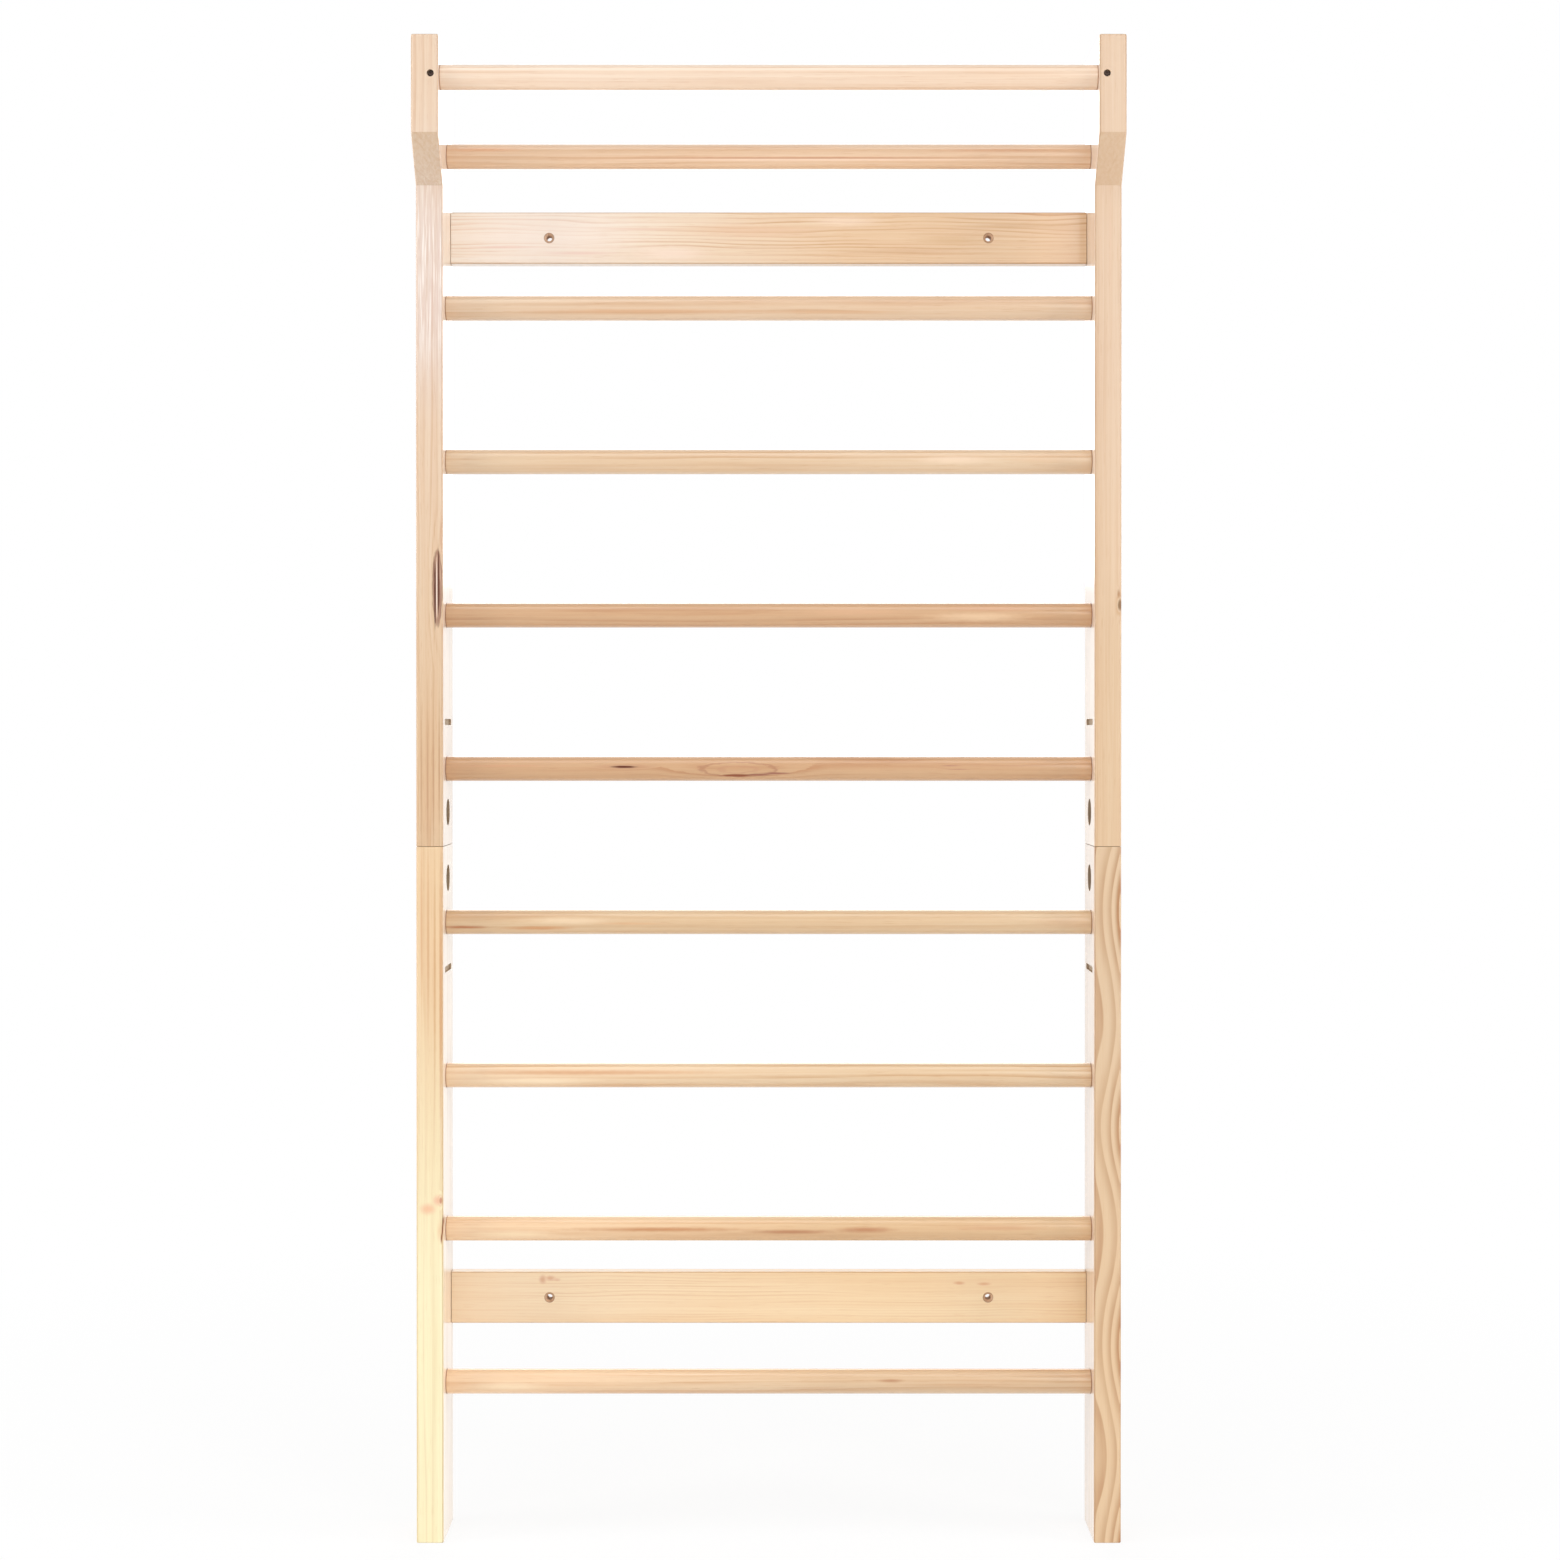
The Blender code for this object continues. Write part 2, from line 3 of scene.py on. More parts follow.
import bmesh
import bpy
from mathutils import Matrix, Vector


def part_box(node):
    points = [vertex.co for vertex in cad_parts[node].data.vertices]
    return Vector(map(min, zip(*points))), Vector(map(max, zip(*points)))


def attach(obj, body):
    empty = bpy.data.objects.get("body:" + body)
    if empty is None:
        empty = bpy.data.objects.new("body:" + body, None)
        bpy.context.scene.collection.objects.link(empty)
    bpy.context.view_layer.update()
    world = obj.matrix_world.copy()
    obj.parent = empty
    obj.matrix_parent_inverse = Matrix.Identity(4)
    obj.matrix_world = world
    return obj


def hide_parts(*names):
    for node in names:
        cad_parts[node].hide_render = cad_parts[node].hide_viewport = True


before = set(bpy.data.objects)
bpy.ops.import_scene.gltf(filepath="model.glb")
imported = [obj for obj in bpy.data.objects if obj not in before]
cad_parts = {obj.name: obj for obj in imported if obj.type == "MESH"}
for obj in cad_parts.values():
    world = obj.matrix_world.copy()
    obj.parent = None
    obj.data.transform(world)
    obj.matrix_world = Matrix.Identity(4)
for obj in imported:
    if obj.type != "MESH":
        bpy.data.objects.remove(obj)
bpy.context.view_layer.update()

# The camera stands a little over three metres in front of the bars, at the height of the chest and level
# with their middle, and it looks slightly down.
LOOK_DOWN = 0.28

eye = bpy.data.cameras.new("camera")
eye.lens = 58.2
eye.sensor_width = 36
eye.shift_x = 0.0072
eye.shift_y = -0.02
camera = bpy.data.objects.new("camera", eye)
camera.location = (0, -3.28, 1.042)
camera.rotation_euler = (math.radians(90 - LOOK_DOWN), 0, 0)
bpy.context.scene.collection.objects.link(camera)
bpy.context.scene.camera = camera
bpy.context.scene.view_settings.view_transform = "Standard"


# The bars stand on a plain white floor in a white room, in soft light from the front, both sides, the back
# and above. The floor keeps only a faint shadow of them.
class Grain:
    """A value that varies over a surface: it wraps a node's socket, and maths on it adds Math nodes."""

    def __init__(self, socket):
        self.socket = socket

    @classmethod
    def node(cls, tree, kind, settings, inputs, output=0):
        """Adds a node: its settings come first, then the values or links of its sockets."""
        made = tree.nodes.new(kind)
        for name, value in settings.items():
            if name == "stops":
                steps = made.color_ramp.elements
                steps.remove(steps[1])
                steps[0].position, steps[0].color = value[0]
                for position, colour in value[1:]:
                    steps.new(position).color = colour
            else:
                setattr(made, name, value)
        for key, value in inputs.items():
            if isinstance(value, Grain):
                tree.links.new(value.socket, made.inputs[key])
            else:
                made.inputs[key].default_value = value
        return cls(made.outputs[output]) if made.outputs else made

    def math(self, operation, first, second=0.0):
        settings = {"operation": operation}
        return self.node(self.socket.id_data, "ShaderNodeMath", settings, {0: first, 1: second})

    def __add__(self, other):
        return self.math("ADD", self, other)

    def __sub__(self, other):
        return self.math("SUBTRACT", self, other)

    def __mul__(self, other):
        return self.math("MULTIPLY", self, other)

    def __truediv__(self, other):
        return self.math("DIVIDE", self, other)

    def __rsub__(self, other):
        return self.math("SUBTRACT", other, self)

    __radd__ = __add__
    __rmul__ = __mul__

    def root(self):
        return self.math("SQRT", self)

    def size(self):
        return self.math("ABSOLUTE", self)

    def whole(self):
        return self.math("FLOOR", self)

    def rest(self):
        return self.math("FRACT", self)

    def sine(self):
        return self.math("SINE", self)

    def most(self, other):
        return self.math("MINIMUM", self, other)

    def rise(self, low, high):
        """From 0 below low to 1 above high, along a smooth step."""
        settings = {"interpolation_type": "SMOOTHSTEP"}
        inputs = {"Value": self, "From Min": low, "From Max": high}
        return self.node(self.socket.id_data, "ShaderNodeMapRange", settings, inputs)


def seen(red, green, blue):
    """A colour given as it looks, out of 255, as the shaders take it."""
    return (*(((c / 255 + 0.055) / 1.055) ** 2.4 for c in (red, green, blue)), 1)


def shown_rays(tree):
    """1 for rays from the camera, and for those that a mirror or glass passes on."""
    rays = [
        Grain.node(tree, "ShaderNodeLightPath", {}, {}, name)
        for name in ("Is Camera Ray", "Is Glossy Ray", "Is Transmission Ray")
    ]
    return (rays[0] + rays[1] + rays[2]).most(1.0)


WHITE = (1, 1, 1, 1)
ROOM_LIGHT = 0.42
FLOOR_SIZE = 14.0
SHADOW_CORE = 0.5
SHADOW_REACH = 2.2
SHADOW_SHARE = 0.14

world = bpy.data.worlds.new("room")
world.use_nodes = True
room = world.node_tree
room.nodes.clear()
brightness = ROOM_LIGHT + shown_rays(room) * (1 - ROOM_LIGHT)
air = Grain.node(room, "ShaderNodeBackground", {}, {"Color": WHITE, "Strength": brightness})
Grain.node(room, "ShaderNodeOutputWorld", {}, {"Surface": air})
bpy.context.scene.world = world

bpy.ops.object.select_all(action="DESELECT")
bpy.ops.mesh.primitive_plane_add(size=FLOOR_SIZE)
floor = bpy.context.object
floor.name = "floor"
floor.data.name = "floor"
paint = bpy.data.materials.new("floor_white")
paint.use_nodes = True
tree = paint.node_tree
tree.nodes.clear()
matt = Grain.node(tree, "ShaderNodeBsdfDiffuse", {}, {"Color": seen(246, 246, 246)})
glow = Grain.node(tree, "ShaderNodeEmission", {}, {"Color": WHITE, "Strength": 1.0})
place = Grain.node(tree, "ShaderNodeTexCoord", {}, {}, "Object")
x, y = (Grain.node(tree, "ShaderNodeSeparateXYZ", {}, {0: place}, n) for n in range(2))
near = 1.0 - (x * x + y * y).root().rise(SHADOW_CORE, SHADOW_REACH)
share = shown_rays(tree) * (1.0 - near * SHADOW_SHARE)
both = Grain.node(tree, "ShaderNodeMixShader", {}, {0: share, 1: matt, 2: glow})
Grain.node(tree, "ShaderNodeOutputMaterial", {}, {"Surface": both})
floor.data.materials.append(paint)


def add_lamp(name, place, target, width, height, power):
    """A soft rectangular lamp that faces its target."""
    light = bpy.data.lights.new(name, "AREA")
    light.shape = "RECTANGLE"
    light.size = width
    light.size_y = height
    light.energy = power
    lamp = bpy.data.objects.new(name, light)
    lamp.location = place
    lamp.rotation_euler = (Vector(target) - Vector(place)).to_track_quat("-Z", "Y").to_euler()
    bpy.context.scene.collection.objects.link(lamp)


add_lamp("front_left_lamp", (-2.2, -3.4, 2.8), (-0.2, 0, 1.0), 2.4, 2.4, 22)
add_lamp("front_right_lamp", (1.7, -3.4, 2.4), (-0.2, 0, 1.1), 2.0, 2.0, 30)
add_lamp("left_lamp", (-3.0, -0.8, 1.1), (0, 0, 0.9), 1.2, 2.8, 56)
add_lamp("right_lamp", (3.0, -0.8, 1.1), (0, 0, 0.9), 1.2, 2.8, 54)
add_lamp("top_lamp", (-0.2, -0.9, 3.7), (0, 0, 1.2), 2.4, 1.4, 17)
add_lamp("back_lamp", (0, 3.4, 2.4), (0, 0, 1.0), 3.0, 2.0, 42)


# The upper lengths of the two posts are planks of planed pine, 35 mm thick and 100 mm deep, sawn to a head
# that juts out over a sloping neck. Their edges are rounded by a router, and they carry a satin varnish.
X_AXIS, Z_AXIS = 0, 2
CLOSE = 0.00001
OVERRUN = 0.01
ROUND_SIDES, HOLE_SIDES, FINE_SIDES = 48, 64, 96
EDGE_RADIUS = 0.0025
SEAM_ARRIS = 0.0008
FIT = 0.0003
low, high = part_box("left_upper_post")
FRONT_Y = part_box("left_lower_post")[0].y
BACK_Y = high.y
SHAFT_Y = (FRONT_Y + BACK_Y) / 2
HEAD_Y = low.y
UPPER_FOOT_Z = low.z
SEAM_Z = UPPER_FOOT_Z - FIT / 2
TOP_Z = high.z
NECK_Z = 1.752
HEAD_Z = 1.810
INNER_X = high.x
OUTER_X = low.x
POST_X = (INNER_X + OUTER_X) / 2
SOCKET_RADIUS = 0.0163
SOCKET_DEPTH = 0.022
POCKET_OFFSET = 0.043
POCKET_RADIUS = 0.0175
POCKET_DEPTH = 0.026
GROOVE_OFFSET = 0.161
GROOVE_RADIUS = 0.004
GROOVE_STRETCH = 0.0285
GROOVE_DEPTH = 0.003
STUD_BORE_RADIUS = 0.0045
DOWEL_BORE_RADIUS = 0.0043
DOWEL_BORE_DEPTH = 0.021
DOWEL_SPREAD = 0.030
BOARD_SCREW_SPREAD = 0.020
BOARD_SCREW_Y = BACK_Y - 0.010
BOARD_SCREW_BORE_RADIUS = 0.00255
BOARD_SINK_RADIUS, BOARD_SINK_DEPTH, BOARD_SINK_MIDDLE = 0.0078, 0.0057, 0.00025
TOP_SCREW_X = -0.430
TOP_SCREW_SEAT = 0.0045
TOP_SCREW_REACH = 0.026
TOP_SCREW_BORE_RADIUS = 0.0023
TOP_SCREW_HOLE_RADIUS = 0.0045


def choose(piece):
    """Selects one piece alone, ready for the next step."""
    bpy.ops.object.select_all(action="DESELECT")
    bpy.context.view_layer.objects.active = piece
    piece.select_set(True)


def start_bar(name, low, high):
    """A squared bar between two corners, open in edit mode."""
    bpy.ops.object.select_all(action="DESELECT")
    middle = [(a + b) / 2 for a, b in zip(low, high)]
    size = [b - a for a, b in zip(low, high)]
    bpy.ops.mesh.primitive_cube_add(size=1, location=middle)
    bar = bpy.context.object
    bar.name = name
    bar.data.name = name
    bar.scale = size
    bpy.ops.object.transform_apply(location=True, rotation=True, scale=True)
    bpy.ops.object.mode_set(mode="EDIT")
    return bar


def pick(kind, test):
    """In edit mode, selects only the vertices, edges or faces that pass the test."""
    bpy.ops.mesh.select_mode(type=kind)
    bpy.ops.mesh.select_all(action="DESELECT")
    shape = bmesh.from_edit_mesh(bpy.context.object.data)
    for item in {"VERT": shape.verts, "EDGE": shape.edges, "FACE": shape.faces}[kind]:
        if test(item):
            item.select_set(True)
    shape.select_flush_mode()
    bmesh.update_edit_mesh(bpy.context.object.data)


def saw(height):
    """In edit mode, divides the whole bar at a height."""
    bpy.ops.mesh.select_all(action="SELECT")
    bpy.ops.mesh.bisect(plane_co=(0, 0, height), plane_no=(0, 0, 1))


def runs_along(edge, axis):
    """Whether an edge runs along an axis rather than across it."""
    step = edge.verts[1].co - edge.verts[0].co
    return abs(step[axis]) > 0.8 * step.length


def at(edge, axis, value):
    """Whether both ends of an edge lie at a value on an axis."""
    return all(abs(end.co[axis] - value) < CLOSE for end in edge.verts)


def climbs(edge):
    """Whether an edge runs up the front or the back of a post, the slope of the neck included."""
    step = edge.verts[0].co - edge.verts[1].co
    return abs(step.x) < CLOSE and abs(step.z) > 0.02


def round_over(width, segments, test):
    """In edit mode, rounds the edges that pass the test."""
    pick("EDGE", test)
    bpy.ops.mesh.bevel(offset=width, offset_type="OFFSET", segments=segments, profile=0.5, affect="EDGES")


def add_round(name, radius, start, end, sides=ROUND_SIDES):
    """A round bar of a radius from one point to another, left in object mode."""
    axis = Vector(end) - Vector(start)
    bpy.ops.object.select_all(action="DESELECT")
    bpy.ops.mesh.primitive_cylinder_add(
        vertices=sides,
        radius=radius,
        depth=axis.length,
        location=(Vector(start) + Vector(end)) / 2,
        rotation=axis.to_track_quat("Z", "Y").to_euler(),
    )
    bar = bpy.context.object
    bar.name = name
    bar.data.name = name
    bpy.ops.object.transform_apply(location=True, rotation=True, scale=True)
    return bar


def add_cone(radius, tip_radius, depth, place, turn, sides=ROUND_SIDES):
    """A blunt cone about a place, for the sink of a screw."""
    bpy.ops.object.select_all(action="DESELECT")
    bpy.ops.mesh.primitive_cone_add(
        vertices=sides, radius1=radius, radius2=tip_radius, depth=depth, location=place, rotation=turn
    )
    bpy.ops.object.transform_apply(location=True, rotation=True, scale=True)
    return bpy.context.object


def drill(piece, cutters, operation="DIFFERENCE"):
    """Takes the cutters out of a piece, or keeps only what they hold, and removes them."""
    for cutter in cutters:
        choose(piece)
        hole = piece.modifiers.new("hole", "BOOLEAN")
        hole.operation = operation
        hole.solver = "EXACT"
        hole.object = cutter
        bpy.ops.object.modifier_apply(modifier=hole.name)
        bpy.data.objects.remove(cutter)


def smooth(piece, angle=32):
    """Shades the round faces smooth, and keeps flat faces flat beside them."""
    choose(piece)
    bpy.ops.object.shade_smooth_by_angle(angle=math.radians(angle))
    weighted = piece.modifiers.new("weighted", "WEIGHTED_NORMAL")
    weighted.keep_sharp = True
    bpy.ops.object.modifier_apply(modifier=weighted.name)


def copy_of(piece, name, step=(0, 0, 0), mirrored=False):
    """A copy of a piece with a mesh of its own, moved by a step or mirrored across the middle."""
    twin = piece.copy()
    twin.data = piece.data.copy()
    twin.name = name
    twin.data.name = name
    bpy.context.scene.collection.objects.link(twin)
    choose(twin)
    twin.location = step
    if mirrored:
        twin.scale.x = -1
    bpy.ops.object.transform_apply(location=True, rotation=True, scale=True)
    if mirrored:
        bpy.ops.object.mode_set(mode="EDIT")
        bpy.ops.mesh.select_all(action="SELECT")
        bpy.ops.mesh.normals_make_consistent(inside=False)
        bpy.ops.object.mode_set(mode="OBJECT")
    return twin


def start_material(name):
    """A new material, its node tree, its shader and the object's own x, y and z."""
    made = bpy.data.materials.new(name)
    made.use_nodes = True
    tree = made.node_tree
    place = Grain.node(tree, "ShaderNodeTexCoord", {}, {}, "Object")
    axes = [Grain.node(tree, "ShaderNodeSeparateXYZ", {}, {0: place}, n) for n in range(3)]
    return made, tree, tree.nodes["Principled BSDF"], axes


def blend(tree, kind, factor, first, second):
    """Mixes two colours."""
    settings = {"data_type": "RGBA", "blend_type": kind}
    return Grain.node(tree, "ShaderNodeMix", settings, {0: factor, 6: first, 7: second}, 2)


def speckle(tree, place, detail=2.0, roughness=0.5):
    """Smooth noise at a place given in waves."""
    spot = Grain.node(tree, "ShaderNodeCombineXYZ", {}, dict(enumerate(place)))
    inputs = {"Vector": spot, "Scale": 1.0, "Detail": detail, "Roughness": roughness}
    return Grain.node(tree, "ShaderNodeTexNoise", {}, inputs)


def streak(along, across, half_length, half_width, amount, *colour, core=0.1):
    """A streak in the wood: where it lies, half its length and width, its strength and its colour.

    It fades from its core, a share of its reach, to its rim.
    """
    return along, across, half_length, half_width, 0, [(-1.0, -0.9, core, 1.15, amount, seen(*colour))]


def knot(along, across, half_length, half_width, *bands):
    """A knot that the rings run round.

    Each of its bands of colour rises and fades between shares of its reach.
    """
    return along, across, half_length, half_width, 1.2, bands


PAINTED_LIGHT_DEPTHS = (0.002, 0.024)
GLINT_DEPTHS = (0.001, 0.012)
INNER_FADE = 0.0008
JOINT_FADE = 0.001
JOINT_GAP = 0.0004
HOLLOW_FADE = 0.0003
DARK_STAIN = 0.3


def pine(
    name, along, colours, pith, ring, face, wander, stretch=2.0, wave=(0, 1, 0), contrast=0.5, edge=0.45,
    uneven=1.2, patchy=0.8, warmth=0.4, streaks=0.5, seed=0.0, marks=(), hollows=(), glint=None, edge_darkening=0.7,
    shaded_joint=0, autumn=(226, 196, 164), sawn=0.75, painted_light=None, inner=0,
):
    """Planed and varnished pine, cut from a tree whose rings run round a pith beside the piece.

    The colours are given with their places along the piece, from its lowest or leftmost end. The marks lie
    on its face: how deep that is, and how far they reach into the wood.
    The rings are a ring's width apart. They wander, with stretch waves in a metre, and sway in a wave: how
    far, its length and its start. From the share edge of a year on, the late wood darkens by its contrast
    towards its autumn colour. The years are uneven, and the late wood comes and goes where it is patchy.
    Warmth and streaks are the strengths of wide clouds and of fine lines.
    The hollows are boxes in the size of x, in y and in z, whose walls are raw unvarnished wood, darkened
    to a colour by painted shade.
    A painted glint, a lamp's reflection in the varnish, lies on the front: where along the piece, how far
    and how strong. So does a paler patch of painted light: where, how far and in which colour. The faces
    between the posts are paled by inner, with painted light.
    Rounded edges are darker, and ends sawn darker. Painted shade darkens a rung where it meets the posts, at
    a given distance from the middle.
    """
    made, tree, shader, (x, y, z) = start_material(name)
    length, across, deep = (z, x, y) if along == "Z" else (x, z, y)
    normal = Grain.node(tree, "ShaderNodeNewGeometry", {}, {}, "Normal")
    facing = Grain.node(tree, "ShaderNodeSeparateXYZ", {}, {0: normal}, 2 if along == "Z" else 0)
    end = facing.size().rise(0.25, 0.85)
    turning = Grain.node(tree, "ShaderNodeSeparateXYZ", {}, {0: normal}, 0 if along == "Z" else 2).size()
    arris = turning.rise(0.15, 0.5) * (1.0 - turning.rise(0.85, 0.98))

    def noise(lengthwise, crosswise, start=0.0, detail=2.0, roughness=0.5):
        """Noise with so many waves in a metre along the grain and across it."""
        spot = (length * lengthwise + (seed + start), across * crosswise, deep * crosswise)
        return speckle(tree, spot, detail, roughness)

    swing, period, start = wave
    swell = (length * (math.tau / period) + start).sine() * swing
    u = across - pith[0] + (noise(stretch, 9, 3.1) - 0.5) * (2 * wander) + swell
    v = deep - pith[1] + (noise(stretch, 9, 17.7) - 0.5) * (2 * wander)
    rings = (u * u + v * v).root() / ring + (noise(stretch * 2, 60, 29.0, 0.0) - 0.5) * uneven

    rough = speckle(tree, (length * 90, across * 320, deep * 60 + seed), 2.0) - 0.5
    reaches = []
    for mark_along, mark_across, half_length, half_width, push, bands in marks:
        a = (length - mark_along) / half_length
        b = (across - mark_across) / half_width
        c = (deep - face[0]) / face[1]
        reach = (a * a + b * b + c * c).root()
        if half_length != half_width:
            reach = reach + rough * 0.35
        reaches.append((reach, bands))
        if push:
            rings = rings + (1.0 - reach.rise(0.7, 2.4)) * push

    turn = rings.rest()
    number = {"W": rings.whole() + seed}
    year = Grain.node(tree, "ShaderNodeTexWhiteNoise", {"noise_dimensions": "1D"}, number)
    patch = noise(4, 80, 41.0).rise(0.38, 0.62)
    late = turn.rise(edge, 0.92) * (1.0 - turn.rise(0.93, 1.0)) * (0.4 + year * 0.6)
    late = late * (1.0 - patchy + patch * patchy) * (1.0 - end * 0.7)
    bands = noise(1.6, 240, 53.0, 1.0).rise(0.35, 0.65)
    fibres = noise(9, 1100, 0.0, 3.0, 0.6)
    pores = (1.0 - fibres.rise(0.3, 0.62)) * (1.0 - end * 0.8)
    dashes = noise(34, 760, 0.0, 1.0).rise(0.62, 0.74)
    clouds = noise(2.6, 22, 0.0).rise(0.3, 0.7)

    first, last = colours[0][0], colours[-1][0]
    stops = [((spot - first) / (last - first), seen(*colour)) for spot, colour in colours]
    share = (length - first) / (last - first)
    colour = Grain.node(tree, "ShaderNodeValToRGB", {"stops": stops}, {"Fac": share})
    # Painted light: a paler patch laid on the front face only, where a lamp falls brightest.
    if painted_light:
        spot, reach, pale = painted_light
        front = 1.0 - ((length - spot) / reach).size().rise(0.2, 1.0)
        front = front * (1.0 - (deep - face[0]).rise(*PAINTED_LIGHT_DEPTHS))
        colour = blend(tree, "MIX", front, colour, seen(*pale))
    # Painted light: the faces between the posts are paled, as if lit more from the sides.
    if inner:
        between = 1.0 - x.size().rise(-INNER_X, -INNER_X + INNER_FADE)
        colour = blend(tree, "MIX", between * inner, colour, seen(255, 246, 236))
    colour = blend(tree, "MULTIPLY", clouds * warmth, colour, seen(248, 238, 226))
    colour = blend(tree, "MULTIPLY", late * contrast, colour, seen(*autumn))
    colour = blend(tree, "MULTIPLY", bands * (0.35 * streaks), colour, seen(240, 218, 196))
    colour = blend(tree, "MULTIPLY", pores * (0.3 * streaks), colour, seen(236, 208, 180))
    colour = blend(tree, "MULTIPLY", dashes * (0.4 * streaks), colour, seen(224, 190, 156))
    bare = end * 0.5
    for reach, bands_of_mark in reaches:
        for low, high, fade, gone, amount, stain in bands_of_mark:
            band = 1.0 - reach.rise(fade, gone)
            if high > 0:
                band = band * reach.rise(low, high)
            colour = blend(tree, "MIX", band * amount, colour, stain)
            if max(stain[:3]) < DARK_STAIN:
                bare = bare + band * amount
    # Painted highlight: a lamp's reflection in the varnish, as pale threads on duller pink, on the front
    # only.
    if glint:
        spot, reach, amount = glint
        sheen = 1.0 - ((length - spot) / reach).size().rise(0.2, 1.0)
        sheen = sheen * (1.0 - (deep - face[0]).rise(*GLINT_DEPTHS))
        threads = noise(14, 560, 61.0, 2.0, 0.6)
        dull = sheen * (1.0 - threads.rise(0.38, 0.52)) * (0.5 * amount)
        colour = blend(tree, "MIX", dull, colour, seen(222, 192, 182))
        colour = blend(tree, "MIX", sheen * threads.rise(0.50, 0.64) * amount, colour, seen(253, 246, 240))
    colour = blend(tree, "MULTIPLY", end * sawn, colour, seen(214, 203, 183))
    # The rounded edges are darker.
    colour = blend(tree, "MULTIPLY", arris * edge_darkening, colour, seen(212, 192, 166))
    # Painted shade: a rung darkens where it meets the posts.
    if shaded_joint:
        ends = length.size().rise(shaded_joint - JOINT_FADE - JOINT_GAP, shaded_joint - JOINT_GAP)
        colour = blend(tree, "MULTIPLY", ends, colour, seen(186, 150, 120))
    # The hollows lose their varnish, and painted shade darkens their walls.
    for *sides, shade in hollows:
        inside = 1.0
        for spot, (low, high) in zip((x.size(), y, z), sides):
            inside = spot.rise(low, low + HOLLOW_FADE) * (1.0 - spot.rise(high, high + HOLLOW_FADE)) * inside
        colour = blend(tree, "MIX", inside * 0.8, colour, shade)
        bare = bare + inside
    bare = bare.most(1.0)

    height = late * 0.5 + fibres * 0.6 - dashes * 0.4
    bump = Grain.node(tree, "ShaderNodeBump", {}, {"Strength": 0.35, "Distance": 0.0002, "Height": height})
    tree.links.new(colour.socket, shader.inputs["Base Color"])
    tree.links.new((0.46 + fibres * 0.12 + bare * 0.3).socket, shader.inputs["Roughness"])
    tree.links.new((1.0 - bare).socket, shader.inputs["Coat Weight"])
    tree.links.new(bump.socket, shader.inputs["Normal"])
    shader.inputs["Coat Roughness"].default_value = 0.12
    return made


def dress(piece, material, slot, *nodes):
    """Gives a piece its finish, and its place in the object."""
    piece.data.materials.clear()
    piece.data.materials.append(material)
    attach(piece, "root")
    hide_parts(*nodes)


post = start_bar("pine_post_left_upper", (OUTER_X, FRONT_Y, UPPER_FOOT_Z), (INNER_X, BACK_Y, TOP_Z))
saw(NECK_Z)
saw(HEAD_Z)
pick("VERT", lambda v: abs(v.co.y - FRONT_Y) < CLOSE and v.co.z > HEAD_Z - CLOSE)
bpy.ops.transform.translate(value=(0, HEAD_Y - FRONT_Y, 0))
round_over(EDGE_RADIUS, 4, lambda e: runs_along(e, Z_AXIS) or at(e, Z_AXIS, TOP_Z) or climbs(e))
round_over(SEAM_ARRIS, 2, lambda e: at(e, Z_AXIS, UPPER_FOOT_Z))
bpy.ops.object.mode_set(mode="OBJECT")


def inner_hole(name, radius, y, z, depth, sides=ROUND_SIDES):
    """A cutter from before the left post's inner face to a depth behind it."""
    return add_round(name, radius, (INNER_X + OVERRUN, y, z), (INNER_X - depth, y, z), sides)


def rung_holes(numbers):
    """Cutters for the blind sockets of some rungs in the left post."""
    cutters = []
    for number in numbers:
        corner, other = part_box(f"rung_{number:02d}")
        y, z = (corner.y + other.y) / 2, (corner.z + other.z) / 2
        cutters.append(inner_hole("socket", SOCKET_RADIUS, y, z, SOCKET_DEPTH, FINE_SIDES))
    return cutters


def seam_holes(sign):
    """Cutters for the round pocket, the groove, the stud and the dowels beside the seam of the left post."""
    pocket_z = SEAM_Z + sign * POCKET_OFFSET
    groove_z = SEAM_Z + sign * GROOVE_OFFSET
    past_seam = SEAM_Z - sign * OVERRUN
    pocket = inner_hole("pocket", POCKET_RADIUS, SHAFT_Y, pocket_z, POCKET_DEPTH, FINE_SIDES)
    groove = inner_hole("groove", GROOVE_RADIUS, SHAFT_Y, groove_z, GROOVE_DEPTH)
    bpy.ops.object.mode_set(mode="EDIT")
    for side in (-1, 1):
        pick("VERT", lambda v: (v.co.y - SHAFT_Y) * side > CLOSE / 10)
        bpy.ops.transform.translate(value=(0, side * GROOVE_STRETCH, 0))
    bpy.ops.object.mode_set(mode="OBJECT")
    bore = add_round("bore", STUD_BORE_RADIUS, (POST_X, SHAFT_Y, past_seam), (POST_X, SHAFT_Y, pocket_z))
    cutters = [pocket, groove, bore]
    for y in (SHAFT_Y - DOWEL_SPREAD, SHAFT_Y + DOWEL_SPREAD):
        bottom = (POST_X, y, SEAM_Z + sign * DOWEL_BORE_DEPTH)
        cutters.append(add_round("pin", DOWEL_BORE_RADIUS, (POST_X, y, past_seam), bottom))
    return cutters


